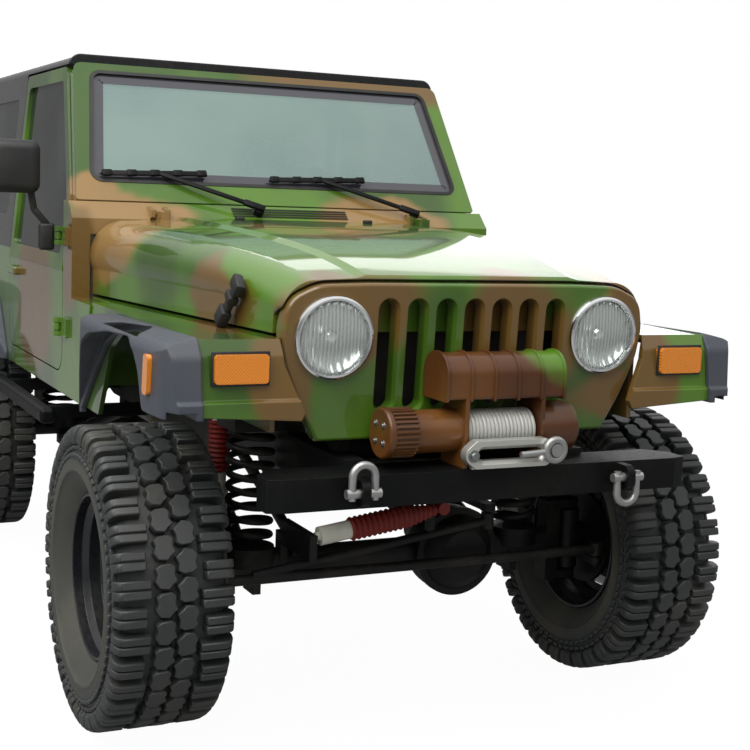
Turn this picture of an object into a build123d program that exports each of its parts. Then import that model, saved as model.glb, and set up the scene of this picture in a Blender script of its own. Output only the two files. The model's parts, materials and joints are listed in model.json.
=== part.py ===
from build123d import *
import math
import os

os.makedirs("parts", exist_ok=True)

# Driving dimensions in mm: forward is -Y, left is +X, the front axle is at Y 0 while building
WHEELBASE = 2373.0
FRONT_REACH = 665.0
TAIL_OVERHANG = 477.0
AXLE_Z = 412.0
GAP = 5.0
FIT = 0.3
LAP = 1.0

# Wheels and tyres
TYRE_R = 412.0
TYRE_W = 316.0
TREAD_W = 274.0
WHEEL_X = 767.0
MIRROR_X1 = 990.0
RIM_W = 228.0
RIM_R = 224.0
RIM_WALL = 8.0
RIM_SEAT = 26.0
RIM_STEP = 16.0
RIM_WELL = 24.0
DISC_T = 9.0
HUB_R = 62.0
HUB_L = 60.0
SPINDLE_R = 24.0
WINDOWS = 8
LUGS = 26
LUG_H = 26.0

# Steering
KING_X = 640.0
KING_R = 14.0
FORK_IN = 100.0
FORK_OUT = 126.0
STEER_ARM = 160.0
PITMAN_X = 250.0
PITMAN_Z = 568.0
BALL_R = 9.0
DAMPER_Y = -230.0
DAMPER_EYE_X = 60.0
DAMPER_EYE_Z = 592.0

# Chassis
RAIL_X = 330.0
RAIL_W = 56.0
RAIL_H = 105.0
RAIL_FRONT_Z = 795.0
RAIL_MID_Z = 745.0
RAIL_REAR_Z = 808.0
SPRING_X = 435.0
SPRING_R = 70.0
SPRING_WIRE = 20.0
SPRING_TURNS = 8
SEAT_H = 54.0
AXLE_R = 40.0
DIFF_X = 210.0
DIFF_R = 130.0
SHOCK_X = 490.0
SHOCK_Y = 108.0

# Body
SIDE_X = 755.0
WALL = 60.0
SILL_Z = 774.0
FLOOR_Z = 815.0
FLOOR_T = 25.0
BELT_Z = 1206.0
COWL_Y = 800.0
COWL_Z = 1405.0
DOOR_Y0 = 925.0
DOOR_TO_AXLE = 573.0
DOOR_Z0 = 844.0
DOOR_ROUND = 70.0
SCREEN_LOW_X = 729.0
SCREEN_LOW_Y = 857.0
SCREEN_TOP_X = 680.0
SCREEN_RUN = 267.0
SCREEN_RISE = 454.0
SCREEN_T = 45.0
ROOF_STEP = 30.0
ROOF_X = 685.0
ROOF_ROUND = 42.0
TOP_T = 36.0
PANE_T = 6.0

# Nose
GRILLE_LEAN = 0.058
GRILLE_Y = -447.0
GRILLE_Z0 = 841.0
GRILLE_T = 45.0
SLOTS = 7
SLOT_PITCH = 82.4
SLOT_W = 49.5
SLOT_Z0 = 916.0
SLOT_Z1 = 1200.0
LAMP_X = 400.0
LAMP_Z = 1107.0
LAMP_R = 108.0
LAMP_RING = 14.0
HOOD_LOW_Z = 1112.0
HOOD_T = 24.0
FENDER_X = 749.0
FENDER_Y = -480.0
FENDER_TOP_Z = 1104.0
SHEET = 14.0
FLARE_X = 845.0
FLARE_T = 16.0

# Bumpers, winch and carrier
BUMPER_X = 613.0
BUMPER_Y0 = -598.0
BUMPER_Y1 = -463.0
BUMPER_Z0 = 700.0
BUMPER_Z1 = 782.0
PLATE = 8.0
TAB_X = 385.0
TAB_Z = 748.0
TAB_T = 22.0
BOW_R = 30.0
BOW_WIRE = 10.0
WINCH_Y = -525.0
WINCH_Z = 872.0
WINCH_MID = 36.0
DRUM_HALF = 106.0
DRUM_R = 54.0
MOTOR_R = 58.0
MOTOR_FINS = 30
BOX_TOP_Z = 1079.0
BOX_R = 62.0
REAR_BUMPER_Z1 = 735.0
SPARE_LIFT = 35.0
SPARE_OFF = 50.0

SCREEN_LOW_Z = COWL_Z + 4.0
SCREEN_TOP_Y = SCREEN_LOW_Y + SCREEN_RUN
ROOF_Z = SCREEN_LOW_Z + SCREEN_RISE + ROOF_STEP
DOOR_Y1 = WHEELBASE - DOOR_TO_AXLE
TAIL_Y = WHEELBASE + TAIL_OVERHANG
SPARE_Y = TAIL_Y + SPARE_OFF + TYRE_W / 2
SPARE_Z = REAR_BUMPER_Z1 + SPARE_LIFT + TYRE_R
REAR_REACH = SPARE_Y + TYRE_W / 2 - WHEELBASE
SHIFT_X = (MIRROR_X1 - WHEEL_X - TYRE_W / 2) / 2
SHIFT_Y = (FRONT_REACH - WHEELBASE - REAR_REACH) / 2
SHIFT_Z = TYRE_R - AXLE_Z
rail_in = RAIL_X - RAIL_W / 2
rail_out = RAIL_X + RAIL_W / 2
side_in = SIDE_X - WALL

parts = {}


def box(x0, x1, y0, y1, z0, z1):
    """Box from two corners."""
    return Pos((x0 + x1) / 2, (y0 + y1) / 2, (z0 + z1) / 2) * Box(x1 - x0, y1 - y0, z1 - z0)


def soft_box(x0, x1, y0, y1, z0, z1, radius):
    """Box with all edges rounded."""
    block = box(x0, x1, y0, y1, z0, z1)
    return fillet(block.edges(), radius)


def rod(start, end, radius):
    """Round bar between two points."""
    along = Vector(*end) - Vector(*start)
    return extrude(Plane(origin=start, z_dir=along) * Circle(radius), amount=along.length)


def tube_run(points, radius):
    """Round bar through several points, with ball corners."""
    run = rod(points[0], points[1], radius)
    for start, end in zip(points[1:-1], points[2:]):
        run += rod(start, end, radius) + Pos(*start) * Sphere(radius)
    return run


def soft_face(points, place):
    """Face from (a, b) or (a, b, corner radius) points; place turns (a, b) into a point in space."""
    corners = [Vector(*point[:2]) for point in points]
    radii = [point[2] if len(point) > 2 else 0 for point in points]
    stations = []
    for i, corner in enumerate(corners):
        before = (corners[i - 1] - corner).normalized()
        after = (corners[(i + 1) % len(corners)] - corner).normalized()
        half = math.radians(before.get_angle(after)) / 2
        reach = radii[i] / math.tan(half)
        middle = corner
        if radii[i]:
            middle = corner + (before + after).normalized() * (radii[i] / math.sin(half) - radii[i])
        stations.append((corner + before * reach, middle, corner + after * reach))
    edges = []
    for i, (start, middle, end) in enumerate(stations):
        if radii[i]:
            edges.append(Edge.make_three_point_arc(place(start), place(middle), place(end)))
        following = stations[(i + 1) % len(stations)][0]
        edges.append(Edge.make_line(place(end), place(following)))
    return Face(Wire(edges))


def prism_x(points, x0, x1, grow=0.0):
    """Side view outline of (Y, Z) points, made larger or smaller all round, run along X."""
    face = soft_face(points, lambda p: Vector(x0, p.X, p.Y))
    return extrude(offset(face, grow) if grow else face, amount=x1 - x0, dir=(1, 0, 0))


def prism_y(points, y0, y1, grow=0.0):
    """Front view outline of (X, Z) points, made larger or smaller all round, run along Y."""
    face = soft_face(points, lambda p: Vector(p.X, y0, p.Y))
    return extrude(offset(face, grow) if grow else face, amount=y1 - y0, dir=(0, 1, 0))


def prism_z(points, z0, z1):
    """Plan outline of (X, Y) points, run along Z."""
    return extrude(soft_face(points, lambda p: Vector(p.X, p.Y, z0)), amount=z1 - z0, dir=(0, 0, 1))


def on_plane(plane, points):
    """Face of (a, b) points on a leaning plane."""
    return soft_face(points, lambda p: plane.from_local_coords(Vector(p.X, p.Y, 0)))


def mirrored(points):
    """Right half of an outline, followed by its left half."""
    return points + [(-p[0], *p[1:]) for p in reversed(points)]


def flip(shape):
    """Same piece on the right-hand side."""
    return mirror(shape, about=Plane.YZ)


def pair(shape):
    """Left and right piece as separate solids."""
    return [shape, flip(shape)]


def largest(shape):
    """The main solid of a trimmed piece."""
    return max(shape.solids(), key=lambda solid: solid.volume)


def keep(name, *shapes):
    """Collect a finished node from one or more pieces, in the part's own frame."""
    place = Pos(SHIFT_X, SHIFT_Y, SHIFT_Z)
    parts[name] = [place * solid for shape in shapes for solid in shape.solids()]


# Tyre: flat-faced, two halves with their lugs half a pitch apart
LUG_PITCH = 2 * math.pi / LUGS
LUG_TIP = LUG_PITCH * 0.25
LUG_ROOT = LUG_PITCH * 0.31
SHOULDER_DROP = 6.0
root_r = TYRE_R - LUG_H
shoulder_r = root_r - SHOULDER_DROP
bulge_r = (TYRE_R + RIM_R) / 2


def gear_points(turn):
    """Tread outline with straight-sided lugs."""
    tip_r = TYRE_R / math.cos(LUG_TIP)
    corners = ((-LUG_ROOT, root_r), (-LUG_TIP, tip_r), (LUG_TIP, tip_r), (LUG_ROOT, root_r))
    points = []
    for i in range(LUGS):
        for offset, radius in corners:
            angle = i * LUG_PITCH + turn + offset
            points.append((radius * math.cos(angle), radius * math.sin(angle)))
    return points


def ring_points(apothem):
    """Even polygon with one side to a lug."""
    radius = apothem / math.cos(LUG_PITCH / 2)
    return [(radius * math.cos(i * LUG_PITCH), radius * math.sin(i * LUG_PITCH)) for i in range(LUGS)]


def at_x(x, points):
    """Points of a ring set out at one X."""
    return [Vector(x, y, z) for y, z in points]


def ring_face(outer, inner):
    """Flat face between two closed outlines."""
    return Face(Wire.make_polygon(outer), [Wire.make_polygon(inner)])


def strips(first, second):
    """Four-sided faces from one ring to the next."""
    faces = []
    for i in range(len(first)):
        j = (i + 1) % len(first)
        faces.append(Face(Wire.make_polygon([first[i], first[j], second[j], second[i]])))
    return faces


def tyre_half(side, turn):
    """Half of the tyre from its middle plane out to one sidewall."""
    bore_r = RIM_R + FIT
    gear = gear_points(turn)
    edge_x = side * TREAD_W / 2
    shoulder = at_x(edge_x, ring_points(shoulder_r))
    bulge = at_x(side * TYRE_W / 2, ring_points(bulge_r))
    lip = at_x(side * RIM_W / 2, ring_points(bore_r))
    middle = at_x(0, ring_points(bore_r))
    faces = [ring_face(at_x(0, gear), middle)]
    faces += strips(at_x(0, gear), at_x(edge_x, gear))
    faces.append(ring_face(at_x(edge_x, gear), shoulder))
    faces += strips(shoulder, bulge)
    faces += strips(bulge, lip)
    faces += strips(lip, middle)
    return Solid(Shell(faces))


tyre = tyre_half(1, -math.pi / 2) + tyre_half(-1, -math.pi / 2 + LUG_PITCH / 2)


# Steel wheel turned about X, outer side towards +X
def turned(points):
    """Solid of revolution about X from (x, radius) points."""
    return revolve(soft_face(points, lambda p: Vector(p.X, p.Y, 0)), axis=Axis.X)


def wheel_rim():
    """Rim with a drop centre, dished disc with windows, hub and cap."""
    edge = RIM_W / 2
    step_r = RIM_R - RIM_STEP
    well_r = step_r - RIM_STEP
    half_line = [(RIM_WELL, well_r), (RIM_WELL + RIM_STEP, step_r), (edge - RIM_SEAT - RIM_STEP, step_r)]
    half_line += [(edge - RIM_SEAT, RIM_R), (edge, RIM_R)]
    line = [(-x, r) for x, r in reversed(half_line)] + half_line
    inside = [(x, r - RIM_WALL) for x, r in reversed(line)]
    rim = turned(line + inside)
    disc_r = well_r - RIM_WALL + LAP
    disc = [(2, disc_r), (8, 0.9 * disc_r), (28, 0.74 * disc_r, 12)]
    disc += [(28, 0.58 * disc_r, 12), (8, 0.45 * disc_r)]
    disc += [(8, HUB_R - LAP)]
    rim += turned(disc + [(p[0] - DISC_T, *p[1:]) for p in reversed(disc)])
    rim += turned([(-HUB_L / 2, 0), (-HUB_L / 2, HUB_R), (HUB_L / 2, HUB_R, 6), (HUB_L / 2, 0)])
    rim += turned([(0, 0), (0, 34), (HUB_L, 34, 8), (HUB_L, 0)])
    for i in range(WINDOWS):
        slot = extrude(SlotOverall(62, 24, rotation=90), amount=HUB_L, both=True)
        rim -= Rot(360 * i / WINDOWS, 0, 0) * Pos(0, 0, 0.82 * disc_r) * Rot(0, 90, 0) * slot
    rim -= turned([(-HUB_L, 0), (-HUB_L, SPINDLE_R + FIT), (20, SPINDLE_R + FIT), (20, 0)])
    return rim


rim = wheel_rim()
for end, wheel_y in (("front", 0.0), ("rear", WHEELBASE)):
    keep("wheel_" + end + "_left", Pos(WHEEL_X, wheel_y, AXLE_Z) * rim)
    keep("wheel_" + end + "_right", Pos(-WHEEL_X, wheel_y, AXLE_Z) * Rot(0, 0, 180) * rim)
    keep("tyre_" + end + "_left", Pos(WHEEL_X, wheel_y, AXLE_Z) * tyre)
    keep("tyre_" + end + "_right", Pos(-WHEEL_X, wheel_y, AXLE_Z) * Rot(0, 0, 180) * tyre)
spare_place = Pos(0, SPARE_Y, SPARE_Z) * Rot(0, 0, 90)
keep("spare_wheel", spare_place * rim)
keep("spare_tyre", spare_place * tyre)

# Ladder frame: rails follow one side outline, cross members join them
RAIL_TAIL = 50.0
RAIL_LINE = [
    (BUMPER_Y1, RAIL_FRONT_Z),
    (300, RAIL_FRONT_Z),
    (560, RAIL_MID_Z),
    (WHEELBASE - 623, RAIL_MID_Z),
    (WHEELBASE - 323, RAIL_REAR_Z),
    (TAIL_Y - RAIL_TAIL, RAIL_REAR_Z),
]
rail_outline = RAIL_LINE + [(y, z - RAIL_H) for y, z in reversed(RAIL_LINE)]
rail = prism_x(rail_outline, rail_in, rail_out)
TOWER = 75.0
TOWER_T = 47.0
tower_top = RAIL_FRONT_Z + 55
front_perch = tower_top - TOWER_T
rear_perch = RAIL_REAR_Z - TOWER_T - LAP
side_frame = rail + box(rail_out - LAP, SPRING_X + TOWER, -TOWER, TOWER, front_perch, tower_top)
side_frame += box(rail_in, rail_out, -TOWER, TOWER, RAIL_FRONT_Z - LAP, tower_top)
side_frame += box(SPRING_X, SHOCK_X + 30, TOWER - LAP, SHOCK_Y + 32, tower_top - 30, tower_top)
perch_y = (WHEELBASE - TOWER, WHEELBASE + 165)
side_frame += box(rail_out - LAP, SPRING_X + TOWER, *perch_y, rear_perch, RAIL_REAR_Z)
# Brackets for the suspension arms: x0, x1, y0, y1, z0, z1
ARM_BRACKETS = [
    (rail_in, RAIL_X, 660, 720, RAIL_MID_Z - 200, RAIL_MID_Z - RAIL_H + LAP),
    (rail_in - 34, rail_in + LAP, 530, 590, RAIL_MID_Z - 95, RAIL_MID_Z - 50),
    (rail_in, RAIL_X, WHEELBASE - 670, WHEELBASE - 610, RAIL_MID_Z - 200, RAIL_MID_Z - RAIL_H + LAP),
    (rail_in - 34, rail_in + LAP, WHEELBASE - 450, WHEELBASE - 390, RAIL_MID_Z - 53, RAIL_MID_Z - 7),
]
for bracket in ARM_BRACKETS:
    side_frame += box(*bracket)
PAD_R = 27.0
BODY_PADS = [(880, RAIL_MID_Z), (WHEELBASE - 693, RAIL_MID_Z), (WHEELBASE + 27, RAIL_REAR_Z)]
for pad_y, rail_top in BODY_PADS:
    side_frame += rod((RAIL_X, pad_y, rail_top - LAP), (RAIL_X, pad_y, FLOOR_Z), PAD_R)
frame = side_frame + flip(side_frame)
# Cross members: y0, y1, z0, z1
CROSS_MEMBERS = [
    (-450, -390, RAIL_FRONT_Z - 95, RAIL_FRONT_Z - 15),
    (960, 1020, RAIL_MID_Z - 93, RAIL_MID_Z - 59),
    (WHEELBASE - 813, WHEELBASE - 733, RAIL_MID_Z - 37, RAIL_MID_Z),
    (TAIL_Y - 120, TAIL_Y - 55, RAIL_REAR_Z - 103, RAIL_REAR_Z - 28),
]
for y0, y1, z0, z1 in CROSS_MEMBERS:
    frame += box(-RAIL_X, RAIL_X, y0, y1, z0, z1)
keep("frame", frame)

# Engine, gearbox and transfer case as one plain block
CASE_Y0 = 1230.0
CASE_Y1 = 1500.0
engine = box(-170, 190, 90, COWL_Y - 60, 760, 1180)
engine += box(-120, 140, 560, COWL_Y - 40, 700, 960)
engine += box(-110, 130, COWL_Y - 60, CASE_Y1, 690, FLOOR_Z - 10)
engine += box(-130, 250, CASE_Y0, CASE_Y1, 610, FLOOR_Z - 25)
keep("powertrain", engine)

# Axles: tube, differential, spring seats and the forked ends that hold the knuckles
FORK_X = 560.0
PINION_R = 55.0
LOWER_ARM_X = 420.0
UPPER_ARM_X = 300.0
LUG_T = 12.0
seat_z = AXLE_Z + SEAT_H


def axle_base(diff_x, pinion_side, half_l):
    """Tube, differential with cover and pinion nose, spring seats, arm and shock brackets."""
    tube = rod((-half_l, 0, AXLE_Z), (half_l, 0, AXLE_Z), AXLE_R)
    housing = Pos(diff_x, 0, AXLE_Z) * Rot(0, 90, 0) * Sphere(DIFF_R)
    half_y = DIFF_R - 22
    housing &= box(diff_x - DIFF_R, diff_x + DIFF_R, -half_y, half_y, AXLE_Z - DIFF_R, AXLE_Z + DIFF_R)
    cover = rod((diff_x, -pinion_side * 40, AXLE_Z), (diff_x, -pinion_side * 62, AXLE_Z), DIFF_R + 4)
    nose = rod((diff_x, 0, AXLE_Z), (diff_x, pinion_side * 190, AXLE_Z + 20), PINION_R)
    base = tube + housing + cover + nose
    for side in (-1, 1):
        low_x = side * LOWER_ARM_X
        up_x = side * UPPER_ARM_X
        base += rod((side * SPRING_X, 0, AXLE_Z), (side * SPRING_X, 0, seat_z), SPRING_R + 4)
        base += box(low_x - LUG_T, low_x + LUG_T, -40, 40, AXLE_Z - 82, AXLE_Z)
        base += box(up_x - LUG_T, up_x + LUG_T, -35, 35, AXLE_Z, AXLE_Z + 93)
        base += box(side * SHOCK_X - 27, side * SHOCK_X + 27, -10, SHOCK_Y + 32, AXLE_Z - 32, AXLE_Z - 12)
    return base


front_axle = axle_base(DIFF_X, 1, FORK_X)
for side in (-1, 1):
    web = box(FORK_X - 15, FORK_X + 30, -30, 30, AXLE_Z - FORK_OUT, AXLE_Z + FORK_OUT)
    for low in (FORK_IN, -FORK_OUT):
        ear_top = AXLE_Z + low + FORK_OUT - FORK_IN
        web += box(FORK_X - 15, KING_X, -28, 28, AXLE_Z + low, ear_top)
        web += rod((KING_X, 0, AXLE_Z + low), (KING_X, 0, ear_top), 28)
    web -= rod((KING_X, 0, AXLE_Z - 2 * FORK_OUT), (KING_X, 0, AXLE_Z + 2 * FORK_OUT), KING_R + FIT)
    front_axle += web if side == 1 else flip(web)
FOOT_X = -352.0
FOOT_T = 22.0
damper_foot = box(FOOT_X, FOOT_X + FOOT_T, -40, 0, AXLE_Z, AXLE_Z + 93)
damper_foot += box(FOOT_X, FOOT_X + FOOT_T, DAMPER_Y - 20, -40, AXLE_Z + 60, AXLE_Z + 133)
front_axle += damper_foot
keep("front_axle", front_axle)

DRUM_X = 662.0
DRUM_T = 28.0
rear_axle = axle_base(0, -1, DRUM_X + LAP)
for side in (-1, 1):
    drum_end = side * (DRUM_X + DRUM_T)
    rear_axle += rod((side * DRUM_X, 0, AXLE_Z), (drum_end, 0, AXLE_Z), 150)
    rear_axle += rod((drum_end, 0, AXLE_Z), (side * (WHEEL_X + 16), 0, AXLE_Z), SPINDLE_R)
rear_axle = Pos(0, WHEELBASE, 0) * rear_axle
keep("rear_axle", rear_axle)

# Knuckle with king pins, spindle, brake disc, caliper and steering arm
BRAKE_X = 690.0
knuckle = rod((KING_X, 0, AXLE_Z - FORK_IN + 8), (KING_X, 0, AXLE_Z + FORK_IN - 8), 34)
knuckle += rod((KING_X, 0, AXLE_Z - FORK_OUT), (KING_X, 0, AXLE_Z + FORK_OUT), KING_R)
knuckle += rod((KING_X, 0, AXLE_Z), (WHEEL_X - 40, 0, AXLE_Z), 44)
knuckle += rod((WHEEL_X - 40, 0, AXLE_Z), (WHEEL_X + 16, 0, AXLE_Z), SPINDLE_R)
knuckle += box(KING_X - 15, KING_X + 15, -STEER_ARM, 0, AXLE_Z - 46, AXLE_Z - 24)
knuckle += rod((KING_X, -STEER_ARM, AXLE_Z - 46), (KING_X, -STEER_ARM, AXLE_Z - 24), 18)
knuckle -= rod((KING_X, -STEER_ARM, AXLE_Z - 80), (KING_X, -STEER_ARM, AXLE_Z), BALL_R + FIT)
knuckle += rod((BRAKE_X, 0, AXLE_Z), (BRAKE_X + 14, 0, AXLE_Z), 145)
knuckle += box(BRAKE_X - 18, BRAKE_X + 32, 85, 150, AXLE_Z - 60, AXLE_Z + 60)
keep("knuckle_left", knuckle)
keep("knuckle_right", flip(knuckle))

# Tie rod, with the drag link that runs up to the pitman arm
DRAG_X = -480.0
TIE_R = 15.0
drag_low = (DRAG_X, -STEER_ARM, AXLE_Z + 10)
drag_top = (PITMAN_X, -STEER_ARM, PITMAN_Z - 40)
links = rod((-KING_X, -STEER_ARM, AXLE_Z), (KING_X, -STEER_ARM, AXLE_Z), TIE_R)
for side in (-1, 1):
    end_x = side * KING_X
    links += rod((end_x, -STEER_ARM, AXLE_Z - 20), (end_x, -STEER_ARM, AXLE_Z + 20), 20)
    links += rod((end_x, -STEER_ARM, AXLE_Z - 54), (end_x, -STEER_ARM, AXLE_Z), BALL_R)
links += rod(drag_low, drag_top, TIE_R - 2)
links += rod((PITMAN_X, -STEER_ARM, PITMAN_Z - 62), (PITMAN_X, -STEER_ARM, PITMAN_Z - 16), 19)
links += rod((PITMAN_X, -STEER_ARM, PITMAN_Z - 20), (PITMAN_X, -STEER_ARM, PITMAN_Z + 12), BALL_R)
drag_share = (DAMPER_EYE_X - drag_low[0]) / (drag_top[0] - drag_low[0])
drag_z = drag_low[2] + drag_share * (drag_top[2] - drag_low[2])
links += box(DAMPER_EYE_X - 12, DAMPER_EYE_X + 12, -STEER_ARM - 8, -STEER_ARM + 8, drag_z, DAMPER_EYE_Z + 14)
eye_front = DAMPER_Y + 12 + FIT
links += rod((DAMPER_EYE_X, -STEER_ARM, DAMPER_EYE_Z), (DAMPER_EYE_X, eye_front, DAMPER_EYE_Z), BALL_R)
keep("steering_links", links)

pitman = rod((PITMAN_X, 0, PITMAN_Z), (PITMAN_X, 0, PITMAN_Z + 22), 26)
pitman += box(PITMAN_X - 17, PITMAN_X + 17, -STEER_ARM, 0, PITMAN_Z - 10, PITMAN_Z + 12)
pitman += rod((PITMAN_X, -STEER_ARM, PITMAN_Z - 10), (PITMAN_X, -STEER_ARM, PITMAN_Z + 12), 22)
pitman -= rod((PITMAN_X, -STEER_ARM, PITMAN_Z - 40), (PITMAN_X, -STEER_ARM, PITMAN_Z + 40), BALL_R + FIT)
keep("pitman_arm", pitman)

gear_box = box(PITMAN_X - 45, rail_in, -70, 60, PITMAN_Z + 50, RAIL_FRONT_Z - 15)
gear_box += rod((PITMAN_X, 0, PITMAN_Z + 22 + FIT), (PITMAN_X, 0, PITMAN_Z + 60), 34)
keep("steering_gear", gear_box)

# Dampers: four upright shocks and the fixed half of the steering damper
DAMPER_R = 26.0
BOOT_R = 31.0
damper_start = Vector(FOOT_X + FOOT_T + 12, DAMPER_Y, AXLE_Z + 126)
damper_end = Vector(DAMPER_EYE_X, DAMPER_Y, DAMPER_EYE_Z)
damper_dir = (damper_end - damper_start).normalized()
damper_len = (damper_end - damper_start).length


def along(distance):
    """Point on the steering damper's line."""
    return tuple(damper_start + damper_dir * distance)


eye_z = AXLE_Z + 126
steer_damper = rod((FOOT_X + FOOT_T, DAMPER_Y, eye_z), (FOOT_X + FOOT_T + 30, DAMPER_Y, eye_z), 12)
steer_damper += rod(along(0), along(170), DAMPER_R)
shock_low = AXLE_Z - 12
shocks = []
for shock_y, shock_top in ((SHOCK_Y, tower_top - 30), (WHEELBASE + SHOCK_Y, rear_perch)):
    shock_mid = shock_low + 0.5 * (shock_top - shock_low)
    shock = rod((SHOCK_X, shock_y, shock_low), (SHOCK_X, shock_y, shock_mid), DAMPER_R)
    shock += rod((SHOCK_X, shock_y, shock_mid), (SHOCK_X, shock_y, shock_top), DAMPER_R - 4)
    shocks += pair(shock)
keep("dampers", steer_damper, *shocks)
boot = rod(along(90), along(290), BOOT_R) - rod(along(80), along(282), DAMPER_R + FIT)
boot += rod(along(286), along(damper_len - 10), 10)
boot += rod((DAMPER_EYE_X, DAMPER_Y - 12, DAMPER_EYE_Z), (DAMPER_EYE_X, DAMPER_Y + 12, DAMPER_EYE_Z), 19)
keep("damper_rod", boot)

# Coil springs: one round wire wound between the axle's seat and the frame's perch
wire_r = SPRING_WIRE / 2
springs = []
for spring_y, spring_top in ((0.0, front_perch), (WHEELBASE, rear_perch)):
    wind_h = spring_top - seat_z - SPRING_WIRE - 2 * FIT
    path = Helix(pitch=wind_h / SPRING_TURNS, height=wind_h, radius=SPRING_R - wire_r)
    coil = sweep(Plane(origin=path @ 0, z_dir=path % 0) * Circle(wire_r), path=path)
    spring = Pos(SPRING_X, spring_y, seat_z + wire_r + FIT) * coil
    springs += pair(spring)
keep("coil_springs", *springs)

# Links between axles and frame: start, end, radius
ARMS = [
    ((LOWER_ARM_X, 20, AXLE_Z - 50), (rail_in + 14, 690, RAIL_MID_Z - 170), 22),
    ((UPPER_ARM_X, 10, AXLE_Z + 66), (rail_in - 16, 560, RAIL_MID_Z - 73), 17),
    ((LOWER_ARM_X, WHEELBASE - 20, AXLE_Z - 50), (rail_in + 14, WHEELBASE - 640, RAIL_MID_Z - 170), 22),
    ((UPPER_ARM_X, WHEELBASE - 10, AXLE_Z + 66), (rail_in - 16, WHEELBASE - 420, RAIL_MID_Z - 30), 17),
]
arms = []
for start, end, radius in ARMS:
    arm = largest(rod(start, end, radius) - side_frame - front_axle - rear_axle)
    arms += pair(arm)
keep("suspension_links", *arms)

# Drive shafts, tank and exhaust
SHAFT_R = 30.0
shaft_front = rod((DIFF_X, 170, AXLE_Z + 18), (200, CASE_Y0 + 20, 662), SHAFT_R) - front_axle - engine
shaft_rear = rod((0, WHEELBASE - 170, AXLE_Z + 18), (60, CASE_Y1 - 20, 700), SHAFT_R) - rear_axle - engine
keep("drive_shafts", largest(shaft_front), largest(shaft_rear))
TANK_Z1 = RAIL_REAR_Z - RAIL_H - 18
tank = soft_box(-RAIL_X, RAIL_X, TAIL_Y - 370, TAIL_Y - 125, TANK_Z1 - 125, TANK_Z1, 24)
for side in (-1, 1):
    strap_x = side * (RAIL_X - 30)
    tank += box(strap_x - 20, strap_x + 20, TAIL_Y - 300, TAIL_Y - 250, TANK_Z1 - LAP, RAIL_REAR_Z - RAIL_H)
keep("fuel_tank", tank)
PIPE_X = -170.0
PIPE_Z = 575.0
PIPE_R = 28.0
silencer = rod((PIPE_X, WHEELBASE - 673, PIPE_Z), (PIPE_X, WHEELBASE - 283, PIPE_Z), 70)
silencer = fillet(silencer.edges(), 18)
down_pipe = [(-90, COWL_Y, 712), (PIPE_X, COWL_Y + 205, PIPE_Z), (PIPE_X, WHEELBASE - 660, PIPE_Z)]
silencer += tube_run(down_pipe, PIPE_R)
silencer -= engine
keep("exhaust", largest(silencer))

# Front bumper: folded plate channel with tapered ends and shackle tabs
TAPER = 53.0
bumper_plan = [(BUMPER_X, BUMPER_Y0 + 13, 6), (BUMPER_X, BUMPER_Y0 + 78), (BUMPER_X - TAPER, BUMPER_Y1)]
bumper_plan = [(BUMPER_X - 40, BUMPER_Y0, 10)] + bumper_plan
bumper = prism_z(mirrored(bumper_plan), BUMPER_Z0, BUMPER_Z1)
room_x = BUMPER_X - TAPER - PLATE
bumper -= box(-room_x, room_x, BUMPER_Y0 + PLATE, BUMPER_Y1 + 1, BUMPER_Z0 + PLATE, BUMPER_Z1 - PLATE)
for side in (-1, 1):
    bumper += box(side * RAIL_X - 28, side * RAIL_X + 28, BUMPER_Y1 - PLATE, BUMPER_Y1, BUMPER_Z0, BUMPER_Z1)
PIN_Y = -FRONT_REACH + 23
PIN_R = 12.0
TAB_HALF = 32.0
TAB = [
    (-FRONT_REACH, TAB_Z - TAB_HALF, 24), (-FRONT_REACH, TAB_Z + TAB_HALF, 24),
    (BUMPER_Y0 + LAP, TAB_Z + TAB_HALF), (BUMPER_Y0 + LAP, TAB_Z - TAB_HALF),
]
for side in (-1, 1):
    tab = prism_x(TAB, side * TAB_X - TAB_T / 2, side * TAB_X + TAB_T / 2)
    tab -= rod((side * TAB_X - TAB_T, PIN_Y, TAB_Z), (side * TAB_X + TAB_T, PIN_Y, TAB_Z), PIN_R + FIT)
    bumper += tab
keep("front_bumper", bumper)

# Bow shackles: the right one stands up, the left one hangs
BOW_DROP = 40.0
shackle = rod((TAB_X - 46, PIN_Y, TAB_Z), (TAB_X + 46, PIN_Y, TAB_Z), PIN_R)
for side in (-1, 1):
    leg_x = TAB_X + side * BOW_R
    shackle += rod((leg_x, PIN_Y, TAB_Z - BOW_DROP), (leg_x, PIN_Y, TAB_Z + 16), BOW_WIRE)
bow_z = TAB_Z - BOW_DROP
bow = Pos(TAB_X, PIN_Y, bow_z) * Rot(90, 0, 0) * Torus(BOW_R, BOW_WIRE)
bow &= box(TAB_X - 2 * BOW_R, TAB_X + 2 * BOW_R, PIN_Y - BOW_R, PIN_Y + BOW_R, bow_z - 2 * BOW_R, bow_z)
shackle += bow
standing = mirror(flip(shackle), about=Plane.XY.offset(TAB_Z))
keep("shackles", shackle, standing)

# Winch: finned motor, end plates, gear end and an arched control box over the drum
FLANGE_T = 12.0
MOTOR_X0 = -292.0
GEAR_X1 = 262.0
BOX_LOW_Z = 958.0
flange_x = DRUM_HALF + FLANGE_T


def fin_points():
    """Motor outline with fins that run along it."""
    points = []
    step = 2 * math.pi / MOTOR_FINS
    for i in range(MOTOR_FINS):
        for share, radius in ((0.0, MOTOR_R + 6), (0.4, MOTOR_R + 6), (0.5, MOTOR_R), (0.9, MOTOR_R)):
            angle = (i + share) * step
            points.append((WINCH_Y + radius * math.cos(angle), WINCH_Z + radius * math.sin(angle)))
    return points


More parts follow.
